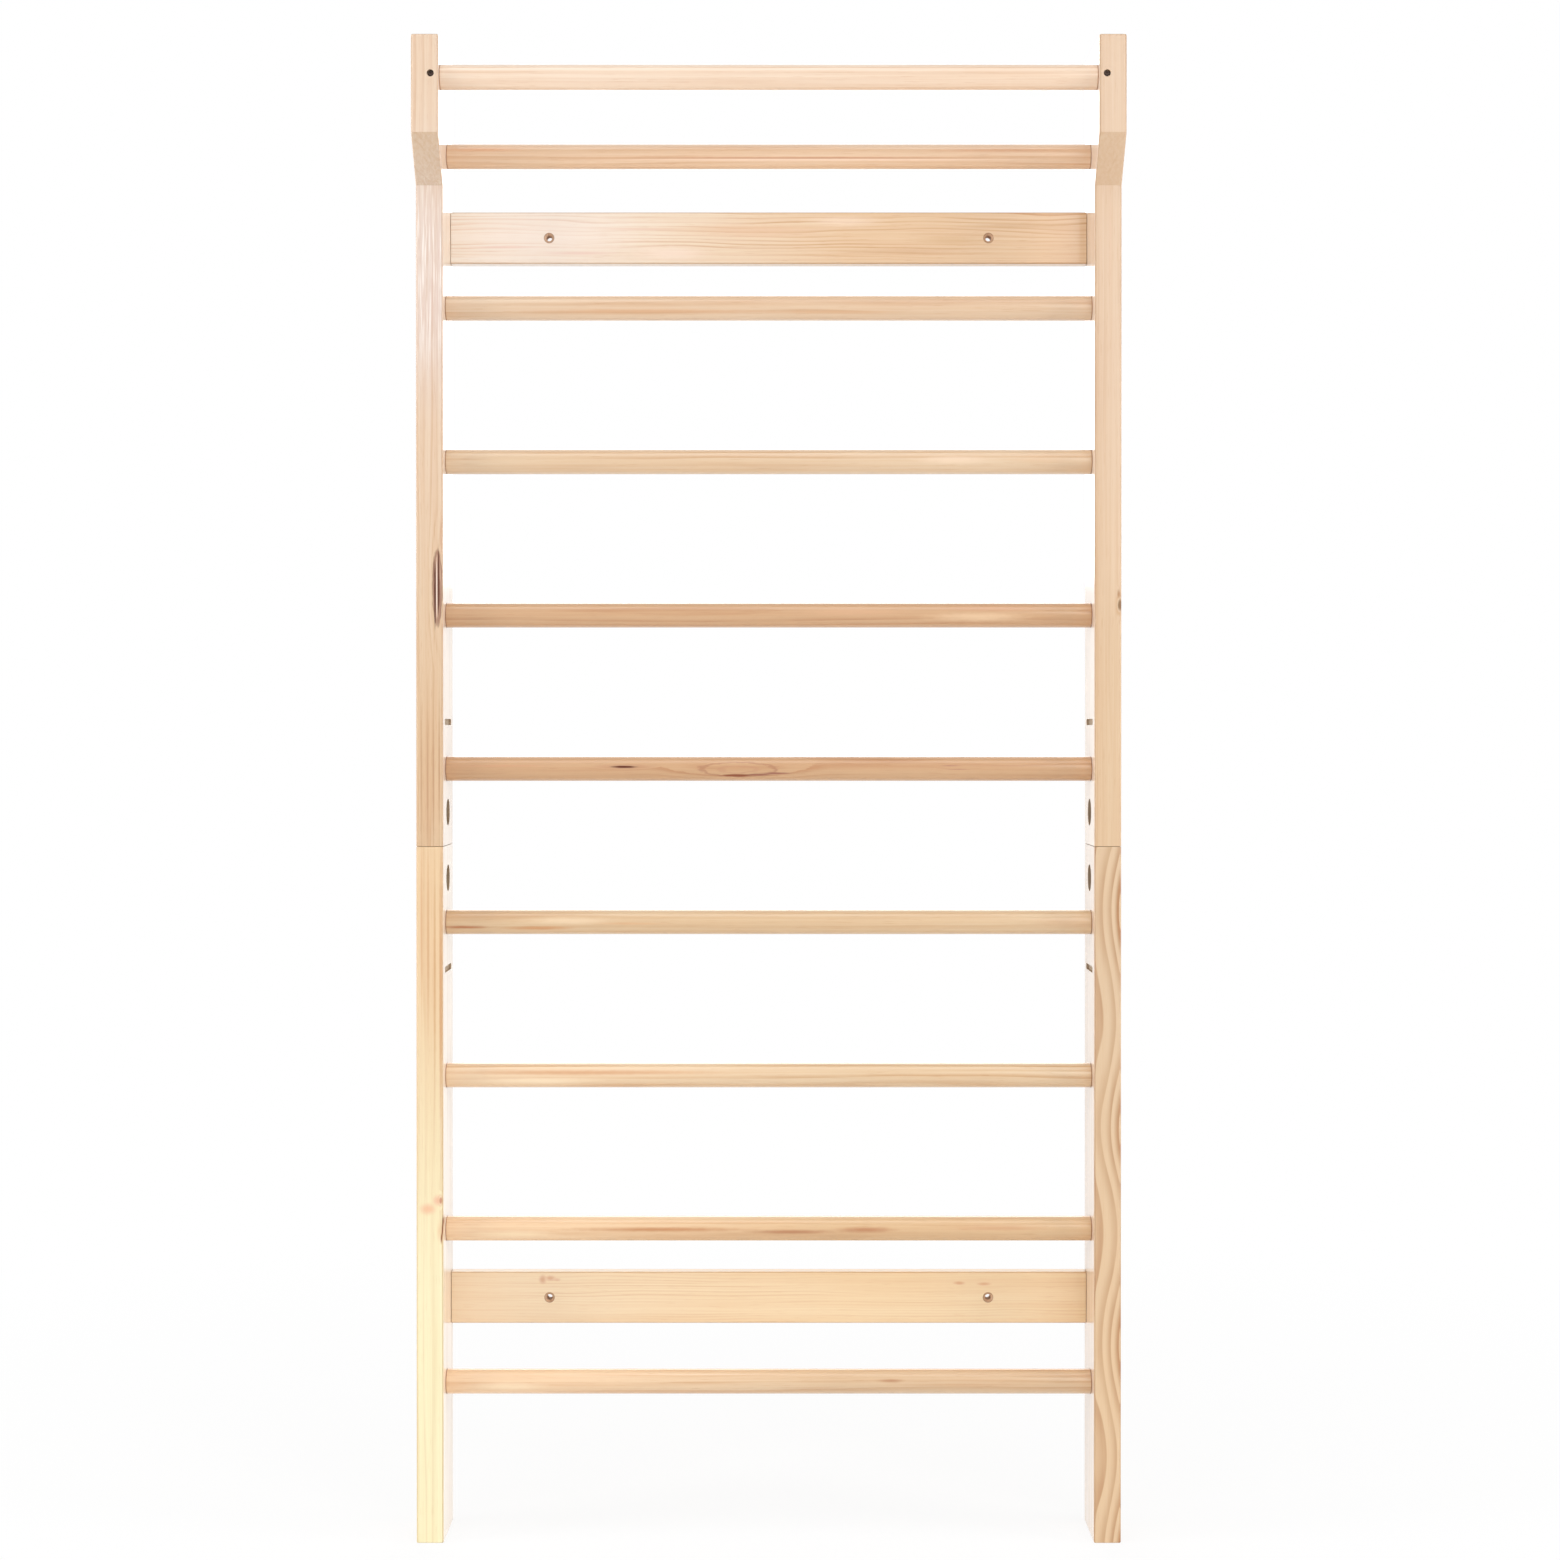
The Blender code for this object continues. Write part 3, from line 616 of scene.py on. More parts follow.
def board_screw_holes(height):
    """Cutters for the two countersunk screws that come through the left post into a board."""
    cutters = []
    for z in (height - BOARD_SCREW_SPREAD, height + BOARD_SCREW_SPREAD):
        spot, turn = (OUTER_X + BOARD_SINK_MIDDLE, BOARD_SCREW_Y, z), (0, math.pi / 2, 0)
        cutters.append(add_cone(BOARD_SINK_RADIUS, BOARD_SCREW_BORE_RADIUS, BOARD_SINK_DEPTH, spot, turn))
        outside, inside = (OUTER_X - OVERRUN, BOARD_SCREW_Y, z), (INNER_X + OVERRUN, BOARD_SCREW_Y, z)
        cutters.append(add_round("shank", BOARD_SCREW_BORE_RADIUS, outside, inside))
    return cutters


def top_screw_hole(name, x, radius, depth, sides=ROUND_SIDES):
    """A cutter for the screw of the top rung, from before a head's front to a depth behind it."""
    start, end = (x, HEAD_Y - OVERRUN, TOP_RUNG_Z), (x, HEAD_Y + depth, TOP_RUNG_Z)
    return add_round(name, radius, start, end, sides)


top_rung_low, top_rung_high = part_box("rung_01")
TOP_RUNG_Z = (top_rung_low.z + top_rung_high.z) / 2
head_holes = [
    top_screw_hole("head_hole", TOP_SCREW_X, TOP_SCREW_HOLE_RADIUS, TOP_SCREW_SEAT, HOLE_SIDES),
    top_screw_hole("head_bore", TOP_SCREW_X, TOP_SCREW_BORE_RADIUS, TOP_SCREW_REACH),
]
upper_board_low, upper_board_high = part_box("upper_wall_board")
UPPER_BOARD_Z = (upper_board_low.z + upper_board_high.z) / 2
drill(post, rung_holes(range(1, 7)) + seam_holes(1) + board_screw_holes(UPPER_BOARD_Z) + head_holes)
right_post = copy_of(post, "pine_post_right_upper", mirrored=True)
for piece in (post, right_post):
    smooth(piece)

# The walls of the pockets and grooves beside the seam are raw wood, darkened grey-brown by painted shade.
HOLLOW_MARGIN = 0.0005
HOLLOW_HALF_WIDTH = GROOVE_RADIUS + GROOVE_STRETCH + 0.002
HOLLOW_FLOOR = POCKET_DEPTH + 0.0016
POCKET_REACH = POCKET_OFFSET + POCKET_RADIUS + HOLLOW_MARGIN
GROOVE_LOW = GROOVE_OFFSET - GROOVE_RADIUS - HOLLOW_MARGIN
GROOVE_HIGH = GROOVE_OFFSET + GROOVE_RADIUS + HOLLOW_MARGIN
GROOVE_SHADE = (170, 154, 134)
SEAM_HOLLOWS = [
    (
        (HOLLOW_FADE - INNER_X, HOLLOW_FLOOR - INNER_X),
        (SHAFT_Y - HOLLOW_HALF_WIDTH, SHAFT_Y + HOLLOW_HALF_WIDTH),
        (SEAM_Z + low, SEAM_Z + high),
        seen(*shade),
    )
    for low, high, shade in (
        (-POCKET_REACH, POCKET_REACH, (154, 136, 114)),
        (-GROOVE_HIGH, -GROOVE_LOW, GROOVE_SHADE),
        (GROOVE_LOW, GROOVE_HIGH, GROOVE_SHADE),
    )
]
POST_FACE = (FRONT_Y, 0.024)
# Painted light pales the faces between the posts.
INNER_PAINTED_LIGHT = 0.65
# The pale pink patch and the glint high on this post's front are a painted highlight: a lamp in the varnish.
left_upper_pine = pine(
    "pine_left_upper", "Z",
    [(1.03, (220, 191, 155)), (1.50, (228, 206, 183))],
    pith=(-0.56, 0.10), ring=0.0062, face=POST_FACE, wander=0.0035, streaks=0.8, seed=4.0, sawn=0.9,
    hollows=SEAM_HOLLOWS, glint=(1.645, 0.17, 0.6), painted_light=(1.630, 0.22, (226, 210, 200)), inner=INNER_PAINTED_LIGHT,
    marks=[
        streak(0.990, -0.4480, 0.130, 0.0018, 0.9, 194, 150, 110),
        streak(0.980, -0.4400, 0.140, 0.0020, 1.0, 194, 148, 108),
        streak(0.985, -0.4325, 0.140, 0.0018, 1.0, 192, 146, 106),
        streak(1.000, -0.4250, 0.120, 0.0018, 0.9, 190, 144, 104),
        streak(1.300, -0.4225, 0.040, 0.0012, 0.6, 196, 140, 104),
        knot(1.234, -0.4274, 0.050, 0.0066, (-1.0, -0.9, 0.82, 1.05, 0.7, seen(172, 126, 102)),
             (0.74, 0.90, 0.94, 1.10, 0.5, seen(120, 72, 50))),
        streak(1.226, -0.4303, 0.048, 0.0013, 1.0, 92, 52, 38, core=0.7),
        streak(1.244, -0.4320, 0.030, 0.0007, 0.7, 126, 80, 60, core=0.5),
        streak(1.240, -0.4257, 0.046, 0.0014, 1.0, 98, 56, 42, core=0.7),
        streak(1.220, -0.4237, 0.030, 0.0008, 0.8, 136, 92, 72, core=0.5),
        streak(1.232, -0.4281, 0.042, 0.0008, 1.0, 238, 216, 202, core=0.6),
    ],
)
right_upper_pine = pine(
    "pine_right_upper", "Z",
    [(1.03, (220, 191, 155)), (1.50, (211, 182, 151))],
    pith=(0.70, 0.20), ring=0.0075, face=POST_FACE, wander=0.0035, contrast=0.3, warmth=0.35, streaks=0.6,
    seed=11.0, sawn=0.05, hollows=SEAM_HOLLOWS, inner=INNER_PAINTED_LIGHT,
    marks=[
        knot(1.212, 0.4528, 0.012, 0.0044, (-1.0, -0.9, 0.35, 0.8, 0.8, seen(122, 84, 44)),
             (0.75, 0.95, 1.0, 1.5, 0.5, seen(196, 148, 100))),
        streak(1.226, 0.4512, 0.007, 0.0024, 0.8, 158, 104, 44),
        streak(1.680, 0.4400, 0.090, 0.0011, 0.5, 212, 172, 140),
        streak(1.045, 0.4417, 0.060, 0.0011, 0.4, 214, 176, 136),
        streak(1.420, 0.4330, 0.100, 0.0011, 0.3, 216, 178, 142),
    ],
)
dress(post, left_upper_pine, "post_pine", "left_upper_post")
dress(right_post, right_upper_pine, "post_pine", "right_upper_post")

# The lower lengths of the posts are straight planks of the same pine, from the floor to the seam at mid
# height. The right one is cut close to the tree's skin, so its rings run in long bold waves.
FOOT_RADIUS = 0.0015

low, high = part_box("left_lower_post")
post = start_bar("pine_post_left_lower", (OUTER_X, FRONT_Y, 0), (INNER_X, BACK_Y, high.z))
round_over(EDGE_RADIUS, 4, lambda e: runs_along(e, Z_AXIS))
round_over(FOOT_RADIUS, 3, lambda e: at(e, Z_AXIS, 0))
round_over(SEAM_ARRIS, 2, lambda e: at(e, Z_AXIS, high.z))
bpy.ops.object.mode_set(mode="OBJECT")
lower_board_low, lower_board_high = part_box("lower_wall_board")
LOWER_BOARD_Z = (lower_board_low.z + lower_board_high.z) / 2
drill(post, rung_holes(range(7, 11)) + seam_holes(-1) + board_screw_holes(LOWER_BOARD_Z))
right_post = copy_of(post, "pine_post_right_lower", mirrored=True)
for piece in (post, right_post):
    smooth(piece)

# The left lower post is paler towards the floor, most of all on its front: painted light.
left_lower_pine = pine(
    "pine_left_lower", "Z",
    [(0.23, (238, 214, 173)), (0.73, (233, 204, 164))],
    pith=(-0.33, 0.05), ring=0.0100, face=POST_FACE, wander=0.004, contrast=0.4, warmth=0.35, streaks=0.4,
    seed=23.0, hollows=SEAM_HOLLOWS, painted_light=(0.050, 0.72, (250, 242, 200)), inner=INNER_PAINTED_LIGHT,
    marks=[
        streak(0.700, -0.4232, 0.220, 0.0026, 0.9, 206, 152, 100),
        streak(0.740, -0.4310, 0.190, 0.0020, 0.9, 212, 164, 114),
        streak(0.780, -0.4395, 0.160, 0.0022, 0.9, 212, 164, 118),
        streak(0.800, -0.4480, 0.130, 0.0018, 0.8, 216, 168, 124),
        streak(0.432, -0.4400, 0.009, 0.0125, 0.75, 240, 180, 140),
        streak(0.443, -0.4268, 0.009, 0.0085, 0.70, 238, 172, 140),
        knot(0.443, -0.4232, 0.006, 0.0026, (-1.0, -0.9, 0.4, 1.0, 0.75, seen(190, 120, 84))),
        streak(0.404, -0.4240, 0.018, 0.0050, 0.55, 236, 188, 138),
        streak(0.416, -0.4205, 0.011, 0.0013, 1.0, 142, 78, 40),
        streak(0.405, -0.4213, 0.011, 0.0013, 1.0, 142, 78, 40),
        streak(0.395, -0.4225, 0.009, 0.0014, 1.0, 146, 82, 44),
    ],
)
right_lower_pine = pine(
    "pine_right_lower", "Z",
    [(0.23, (226, 196, 157)), (0.73, (218, 190, 155))],
    pith=(0.395, 0.100), ring=0.0045, face=POST_FACE, wander=0.004, stretch=2.4, wave=(0.010, 0.28, 2.065),
    contrast=1.2, edge=0.20, uneven=0.35, patchy=0.25, warmth=0.3, streaks=0.3, seed=31.0,
    hollows=SEAM_HOLLOWS, autumn=(208, 172, 136), inner=INNER_PAINTED_LIGHT,
)
dress(post, left_lower_pine, "post_pine", "left_lower_post")
dress(right_post, right_lower_pine, "post_pine", "right_lower_post")

# The ten rungs are turned from pine, 32 mm thick, sanded and varnished. Their ends are chamfered and glued
# into blind sockets, and two screws hold the top one.
RUNG_CHAMFER = 0.0015
RUNG_MARK_DEPTH = 0.020
RUNG_TONE_PLACES = (-0.44, 0.10)

low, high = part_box("rung_10")
RUNG_Y, RUNG_Z = (low.y + high.y) / 2, (low.z + high.z) / 2
RUNG_RADIUS = (high.z - low.z) / 2
start, end = (low.x, RUNG_Y, RUNG_Z), (high.x, RUNG_Y, RUNG_Z)
pattern = add_round("rung_pattern", RUNG_RADIUS, start, end, FINE_SIDES)
bpy.ops.object.mode_set(mode="EDIT")
round_over(RUNG_CHAMFER, 2, lambda e: at(e, X_AXIS, low.x) or at(e, X_AXIS, high.x))
bpy.ops.object.mode_set(mode="OBJECT")

rung_looks = {
    1: dict(pith=(0.03, 0.05), ring=0.0052, tone=(238, 216, 194)),
    2: dict(pith=(-0.05, 0.02), ring=0.0085, tone=(231, 200, 168), marks=[
        streak(-0.370, 0.0060, 0.060, 0.0036, 0.72, 222, 164, 124),
        streak(0.050, -0.0050, 0.330, 0.0018, 0.9, 196, 136, 98),
        streak(0.060, -0.0068, 0.330, 0.0017, 0.72, 246, 216, 190),
        streak(0.300, 0.0050, 0.120, 0.0030, 0.58, 214, 160, 124),
    ]),
    3: dict(pith=(-0.06, 0.03), ring=0.0100, tone=(224, 197, 167), marks=[
        streak(-0.160, -0.0062, 0.200, 0.0034, 0.80, 212, 162, 118),
        streak(0.080, -0.0070, 0.110, 0.0024, 0.65, 214, 166, 122),
    ]),
    4: dict(pith=(0.05, 0.07), ring=0.0065, tone=(224, 197, 164), marks=[
        streak(0.240, 0.0010, 0.060, 0.0072, 0.51, 246, 218, 190),
        streak(0.360, 0.0030, 0.060, 0.0096, 0.51, 220, 180, 140),
    ]),
    5: dict(pith=(0.02, -0.05), ring=0.0075, tone=(207, 167, 126), marks=[
        streak(0.110, 0.0040, 0.080, 0.0066, 0.58, 216, 168, 128),
        streak(0.270, -0.0030, 0.080, 0.0072, 0.65, 238, 204, 164),
        streak(0.290, 0.0080, 0.090, 0.0048, 0.65, 208, 156, 116),
    ]),
    6: dict(pith=(-0.04, 0.04), ring=0.0080, tone=(207, 166, 124), marks=[
        knot(-0.188, 0.0026, 0.021, 0.0021, (-1.0, -0.9, 0.35, 1.1, 1.0, seen(92, 36, 20)),
             (0.8, 1.0, 1.1, 2.4, 0.45, seen(190, 136, 98))),
        knot(-0.040, -0.0010, 0.052, 0.0100, (0.30, 0.42, 0.46, 0.60, 0.4, seen(188, 132, 96)),
             (0.80, 0.92, 0.94, 1.06, 0.5, seen(160, 98, 62))),
        streak(-0.042, -0.0086, 0.022, 0.0020, 1.0, 142, 82, 54, core=0.5),
        streak(-0.014, -0.0076, 0.018, 0.0016, 1.0, 150, 90, 60, core=0.4),
        streak(0.010, -0.0058, 0.022, 0.0016, 1.0, 152, 92, 64, core=0.3),
        streak(0.236, 0.0040, 0.016, 0.0011, 0.95, 178, 124, 92),
        streak(0.246, -0.0006, 0.018, 0.0011, 0.87, 184, 130, 96),
        streak(-0.340, 0.0040, 0.080, 0.0019, 0.65, 206, 150, 110),
    ]),
    7: dict(pith=(-0.05, 0.05), ring=0.0090, tone=(222, 194, 156), marks=[
        streak(-0.395, -0.0058, 0.040, 0.0026, 1.0, 182, 112, 60),
        streak(-0.300, -0.0070, 0.055, 0.0032, 0.9, 206, 144, 88),
        streak(-0.180, -0.0010, 0.060, 0.0022, 0.58, 218, 168, 120),
        streak(-0.260, 0.0030, 0.070, 0.0060, 0.51, 246, 220, 184),
        streak(0.385, 0.0010, 0.050, 0.0108, 0.43, 214, 172, 132),
    ]),
    # Rungs 8 to 10 have a paler left colour and a broad pale streak at the left end: painted light.
    8: dict(pith=(0.06, 0.04), ring=0.0070, tone=(228, 202, 166), left=(243, 214, 178), marks=[
        streak(-0.240, 0.0052, 0.210, 0.0036, 0.9, 216, 164, 120),
        streak(-0.300, -0.0060, 0.090, 0.0054, 0.72, 253, 229, 194),
    ]),
    9: dict(pith=(0.04, 0.05), ring=0.0090, tone=(223, 190, 147), left=(249, 216, 177), marks=[
        streak(-0.140, 0.0012, 0.140, 0.0038, 1.0, 198, 140, 90),
        streak(0.030, -0.0018, 0.065, 0.0038, 1.0, 186, 128, 82),
        streak(0.125, 0.0006, 0.046, 0.0048, 1.0, 190, 132, 86),
        streak(0.300, 0.0030, 0.080, 0.0038, 0.65, 206, 154, 110),
        streak(-0.330, -0.0050, 0.060, 0.0060, 0.58, 253, 228, 188),
    ]),
    10: dict(pith=(-0.05, -0.04), ring=0.0085, tone=(222, 193, 157), left=(250, 217, 179), marks=[
        streak(0.158, 0.0042, 0.022, 0.0026, 0.95, 186, 134, 92),
        streak(0.250, -0.0006, 0.120, 0.0022, 0.65, 206, 160, 116),
        streak(0.060, -0.0050, 0.060, 0.0019, 0.51, 214, 170, 128),
        streak(-0.340, -0.0030, 0.060, 0.0072, 0.58, 254, 230, 194),
    ]),
}
for number, look in rung_looks.items():
    low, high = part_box(f"rung_{number:02d}")
    y, z = (low.y + high.y) / 2, (low.z + high.z) / 2
    rung = copy_of(pattern, f"pine_rung_{number:02d}", step=(0, y - RUNG_Y, z - RUNG_Z))
    if number == 1:
        for x in (TOP_SCREW_X, -TOP_SCREW_X):
            drill(rung, [top_screw_hole("bore", x, TOP_SCREW_BORE_RADIUS, TOP_SCREW_REACH)])
    smooth(rung)
    colours = list(zip(RUNG_TONE_PLACES, (look.get("left", look["tone"]), look["tone"])))
    marks = [(a, z + b, *shape) for a, b, *shape in look.get("marks", [])]
    material = pine(
        f"pine_rung_{number:02d}", "X", colours, pith=(z + look["pith"][0], y + look["pith"][1]),
        ring=look["ring"], face=(y - RUNG_RADIUS, RUNG_MARK_DEPTH), wander=0.006, stretch=2.2, contrast=0.75,
        edge=0.35, uneven=0.4, warmth=0.5, streaks=0.6, seed=40.0 + 7 * number, marks=marks, edge_darkening=0,
        shaded_joint=-INNER_X,
    )
    dress(rung, material, "rung_pine", f"rung_{number:02d}")
bpy.data.objects.remove(pattern)

# The two wall boards are planed pine, 68 mm high and 20 mm thick, butted between the posts and flush with
# their backs. Each has two countersunk holes for the screws that hold the bars to a wall.
WALL_HOLE_X = 0.290
WALL_HOLE_RADIUS = 0.00375
WALL_SINK_RADIUS, WALL_SINK_DEPTH, WALL_SINK_MIDDLE = 0.00875, 0.005, 0.0005
WALL_SINK_SHADE_REACH = 0.0078
RIM_RADIUS = 0.0066
# Painted shade: a darker ring round the rim of each countersink.
RIM_SHADE_RING = (0.80, 0.93, 0.97, 1.10, 0.75, seen(150, 98, 66))
BOARD_EDGE_RADIUS = 0.002
BOARD_END_CHAMFER = 0.0004
BOARD_SCREW_REACH = 0.036
BOARD_PAST_END_SHARE = 1.01
BOARD_MARK_DEPTH = 0.016
BOARD_TONE_PLACES = (-0.42, 0.10)

# Each board's paler left colour is painted light, brighter at the left ends.
board_looks = {
    "upper": dict(
        left=(255, 250, 240), tone=(235, 206, 170), pith=(0.11, 0.11), ring=0.0036, contrast=0.85,
        streaks=0.7, warmth=0.3, seed=131.0, marks=[
            # This broad pale streak at the left end is painted light too.
            streak(-0.300, 0.004, 0.170, 0.060, 0.60, 255, 240, 230),
            streak(-0.250, -0.020, 0.060, 0.0030, 0.50, 236, 196, 180),
            streak(-0.350, -0.012, 0.050, 0.0026, 0.45, 238, 200, 184),
            streak(-0.170, 0.012, 0.070, 0.0024, 0.45, 234, 196, 172),
            streak(-0.130, -0.020, 0.060, 0.0120, 0.55, 254, 232, 216),
            streak(-0.020, 0.010, 0.120, 0.0110, 0.50, 230, 186, 148),
            streak(0.100, 0.022, 0.060, 0.0090, 0.50, 250, 226, 204),
            streak(0.180, -0.018, 0.100, 0.0070, 0.50, 212, 168, 126),
            streak(0.240, -0.003, 0.060, 0.0080, 0.50, 214, 172, 122),
            streak(0.330, 0.016, 0.080, 0.0060, 0.45, 210, 168, 122),
        ],
    ),
    "lower": dict(
        left=(251, 229, 196), tone=(250, 223, 181), pith=(0.20, 0.10), ring=0.0034, contrast=0.45,
        streaks=0.5, warmth=0.5, seed=151.0, marks=[
            streak(-0.2990, 0.0240, 0.0060, 0.0070, 0.7, 214, 152, 114),
            streak(-0.2890, 0.0255, 0.0080, 0.0044, 0.7, 216, 156, 118),
            streak(-0.2800, 0.0235, 0.0060, 0.0028, 0.5, 222, 166, 126),
            streak(0.2520, 0.0190, 0.0090, 0.0030, 0.75, 220, 158, 114),
            streak(0.2846, 0.0180, 0.0110, 0.0030, 0.7, 220, 158, 114),
        ],
    ),
}
rims = [(x, 0, RIM_RADIUS, RIM_RADIUS, 0, [RIM_SHADE_RING]) for x in (-WALL_HOLE_X, WALL_HOLE_X)]
for place, look in board_looks.items():
    low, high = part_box(f"{place}_wall_board")
    middle = (low.z + high.z) / 2
    board = start_bar(f"pine_board_{place}", low, high)
    round_over(BOARD_EDGE_RADIUS, 4, lambda e: runs_along(e, X_AXIS))
    round_over(BOARD_END_CHAMFER, 1, lambda e: at(e, X_AXIS, low.x) or at(e, X_AXIS, high.x))
    bpy.ops.object.mode_set(mode="OBJECT")
    holes = []
    for x in (-WALL_HOLE_X, WALL_HOLE_X):
        start, end = (x, low.y - OVERRUN, middle), (x, high.y + OVERRUN, middle)
        holes.append(add_round("hole", WALL_HOLE_RADIUS, start, end, HOLE_SIDES))
        spot, turn = (x, low.y + WALL_SINK_MIDDLE, middle), (-math.pi / 2, 0, 0)
        holes.append(add_cone(WALL_SINK_RADIUS, WALL_HOLE_RADIUS, WALL_SINK_DEPTH, spot, turn, HOLE_SIDES))
    for x in (INNER_X, -INNER_X):
        for z in (middle - BOARD_SCREW_SPREAD, middle + BOARD_SCREW_SPREAD):
            start = (x * BOARD_PAST_END_SHARE, BOARD_SCREW_Y, z)
            end = (x - math.copysign(BOARD_SCREW_REACH, x), BOARD_SCREW_Y, z)
            holes.append(add_round("shank", BOARD_SCREW_BORE_RADIUS, start, end))
    drill(board, holes)
    smooth(board)
    colours = list(zip(BOARD_TONE_PLACES, (look["left"], look["tone"])))
    marks = [(a, middle + b, *shape) for a, b, *shape in look["marks"] + rims]
    # The countersinks and holes lose their varnish, and painted shade darkens them.
    material = pine(
        f"pine_board_{place}", "X", colours, pith=(middle + look["pith"][0], BACK_Y + look["pith"][1]),
        ring=look["ring"], face=(low.y, BOARD_MARK_DEPTH), wander=0.004, stretch=3.4,
        contrast=look["contrast"], uneven=1.6, warmth=look["warmth"], streaks=look["streaks"],
        seed=look["seed"], marks=marks, patchy=0.95, hollows=[(
            (WALL_HOLE_X - WALL_SINK_SHADE_REACH, WALL_HOLE_X + WALL_SINK_SHADE_REACH),
            (low.y + HOLLOW_FADE, high.y - 2 * HOLLOW_FADE),
            (middle - WALL_SINK_SHADE_REACH, middle + WALL_SINK_SHADE_REACH),
            seen(206, 168, 138),
        )],
    )
    dress(board, material, "board_pine", f"{place}_wall_board")

# A stud of zinc-plated steel, M8, runs through each seam. A nut at each end draws a half-moon washer
# against the round pocket in the post, which pulls the two lengths of the post together.
def plated(name, colour, roughness, worn):
    """Plated or blackened steel, slightly cloudy and with fine wear."""
    made, tree, shader, (x, y, z) = start_material(name)
    cloud = speckle(tree, (x * 260, y * 260, z * 260), 3.0)
    grit = speckle(tree, (x * 1800, y * 1800, z * 1800), 2.0)
    colour = blend(tree, "MIX", cloud.rise(0.35, 0.7) * 0.5, colour, worn)
    bump = Grain.node(tree, "ShaderNodeBump", {}, {"Strength": 0.2, "Distance": 0.00005, "Height": grit})
    tree.links.new(colour.socket, shader.inputs["Base Color"])
    tree.links.new((roughness + cloud * 0.15).socket, shader.inputs["Roughness"])
    tree.links.new(bump.socket, shader.inputs["Normal"])
    shader.inputs["Metallic"].default_value = 1.0
    return made


def spun(name, profile, steps=48):
    """A shape turned about Z from (radius, height) points, from its top to its bottom."""
    bpy.ops.object.select_all(action="DESELECT")
    bpy.ops.mesh.primitive_plane_add(size=1)
    made = bpy.context.object
    made.name = name
    made.data.name = name
    shape = bmesh.new()
    points = [shape.verts.new((radius, 0, height)) for radius, height in profile]
    for first, second in zip(points, points[1:]):
        shape.edges.new((first, second))
    shape.to_mesh(made.data)
    shape.free()
    bpy.ops.object.mode_set(mode="EDIT")
    bpy.ops.mesh.select_all(action="SELECT")
    bpy.ops.mesh.spin(steps=steps, angle=math.tau, center=(0, 0, 0), axis=(0, 0, 1))
    bpy.ops.mesh.select_all(action="SELECT")
    bpy.ops.mesh.remove_doubles(threshold=CLOSE)
    bpy.ops.mesh.select_all(action="SELECT")
    bpy.ops.mesh.normals_make_consistent(inside=False)
    bpy.ops.object.mode_set(mode="OBJECT")
    return made


def placed(piece, turn, place):
    """Turns a finished pattern about the origin and puts it in its place, in its mesh."""
    choose(piece)
    piece.rotation_euler = turn
    piece.location = place
    bpy.ops.object.transform_apply(location=True, rotation=True, scale=True)
    return piece


zinc = plated("bright_zinc", seen(186, 188, 192), 0.28, seen(158, 160, 166))
blackened = plated("blackened_steel", seen(84, 70, 64), 0.42, seen(54, 47, 44))

THREAD_SIDES = 32
HEXAGON = 6
STUD_RADIUS, STUD_ROOT_RADIUS, STUD_TIP_RADIUS = 0.004, 0.0034, 0.0031
STUD_CHAMFER = 0.0009
STUD_LEAD = 0.0013
STUD_PITCH = 0.00125
STUD_SMOOTH_ANGLE = 50
NUT_HALF_WIDTH = 0.0065
NUT_FACE_RADIUS = 0.0062
NUT_REACH = 0.0079
NUT_BEVEL = 0.00095
NUT_MOUTH_RADIUS, NUT_MOUTH_RISE, NUT_MOUTH_DEPTH = 0.0056, 0.001, 0.0003
NUT_BORE_RADIUS = 0.0043
WASHER_EDGE_RADIUS = 0.0006
WASHER_BORE_REACH = 0.08
SHARP_TURN = 1.0

low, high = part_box("left_seam_stud")
half = (high.z - low.z) / 2
thread = [(0, half), (STUD_TIP_RADIUS, half), (STUD_RADIUS, half - STUD_CHAMFER)]
height = half - STUD_LEAD
while height > STUD_CHAMFER - half + STUD_PITCH:
    thread.append((STUD_ROOT_RADIUS, height - STUD_PITCH / 2))
    thread += [(STUD_RADIUS, height - STUD_PITCH * 0.9), (STUD_RADIUS, height - STUD_PITCH)]
    height -= STUD_PITCH
thread += [(STUD_TIP_RADIUS, -half), (0, -half)]
stud = spun("stud_pattern", thread, THREAD_SIDES)
for side, sign in (("left", 1), ("right", -1)):
    piece = placed(copy_of(stud, f"zinc_stud_{side}"), (0, 0, 0), (sign * POST_X, SHAFT_Y, SEAM_Z))
    smooth(piece, STUD_SMOOTH_ANGLE)
    dress(piece, zinc, "zinc_steel", f"{side}_seam_stud")
bpy.data.objects.remove(stud)

low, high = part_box("left_seam_nut_upper")
nut_z = (low.z + high.z) / 2
half = (high.z - low.z) / 2
corner = NUT_HALF_WIDTH / math.cos(math.pi / HEXAGON)
nut = add_round("nut_pattern", corner, (0, 0, -half), (0, 0, half), HEXAGON)
rounder = spun("rounder", [
    (0, half), (NUT_FACE_RADIUS, half), (NUT_REACH, half - NUT_BEVEL),
    (NUT_REACH, NUT_BEVEL - half), (NUT_FACE_RADIUS, -half), (0, -half),
])
drill(nut, [rounder], "INTERSECT")
mouth = half + NUT_MOUTH_RISE
drill(nut, [spun("bore", [
    (0, mouth), (NUT_MOUTH_RADIUS, mouth), (NUT_BORE_RADIUS, half - NUT_MOUTH_DEPTH),
    (NUT_BORE_RADIUS, NUT_MOUTH_DEPTH - half), (NUT_MOUTH_RADIUS, -mouth), (0, -mouth),
])])
low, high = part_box("left_seam_washer_upper")
pocket_z = SEAM_Z + POCKET_OFFSET
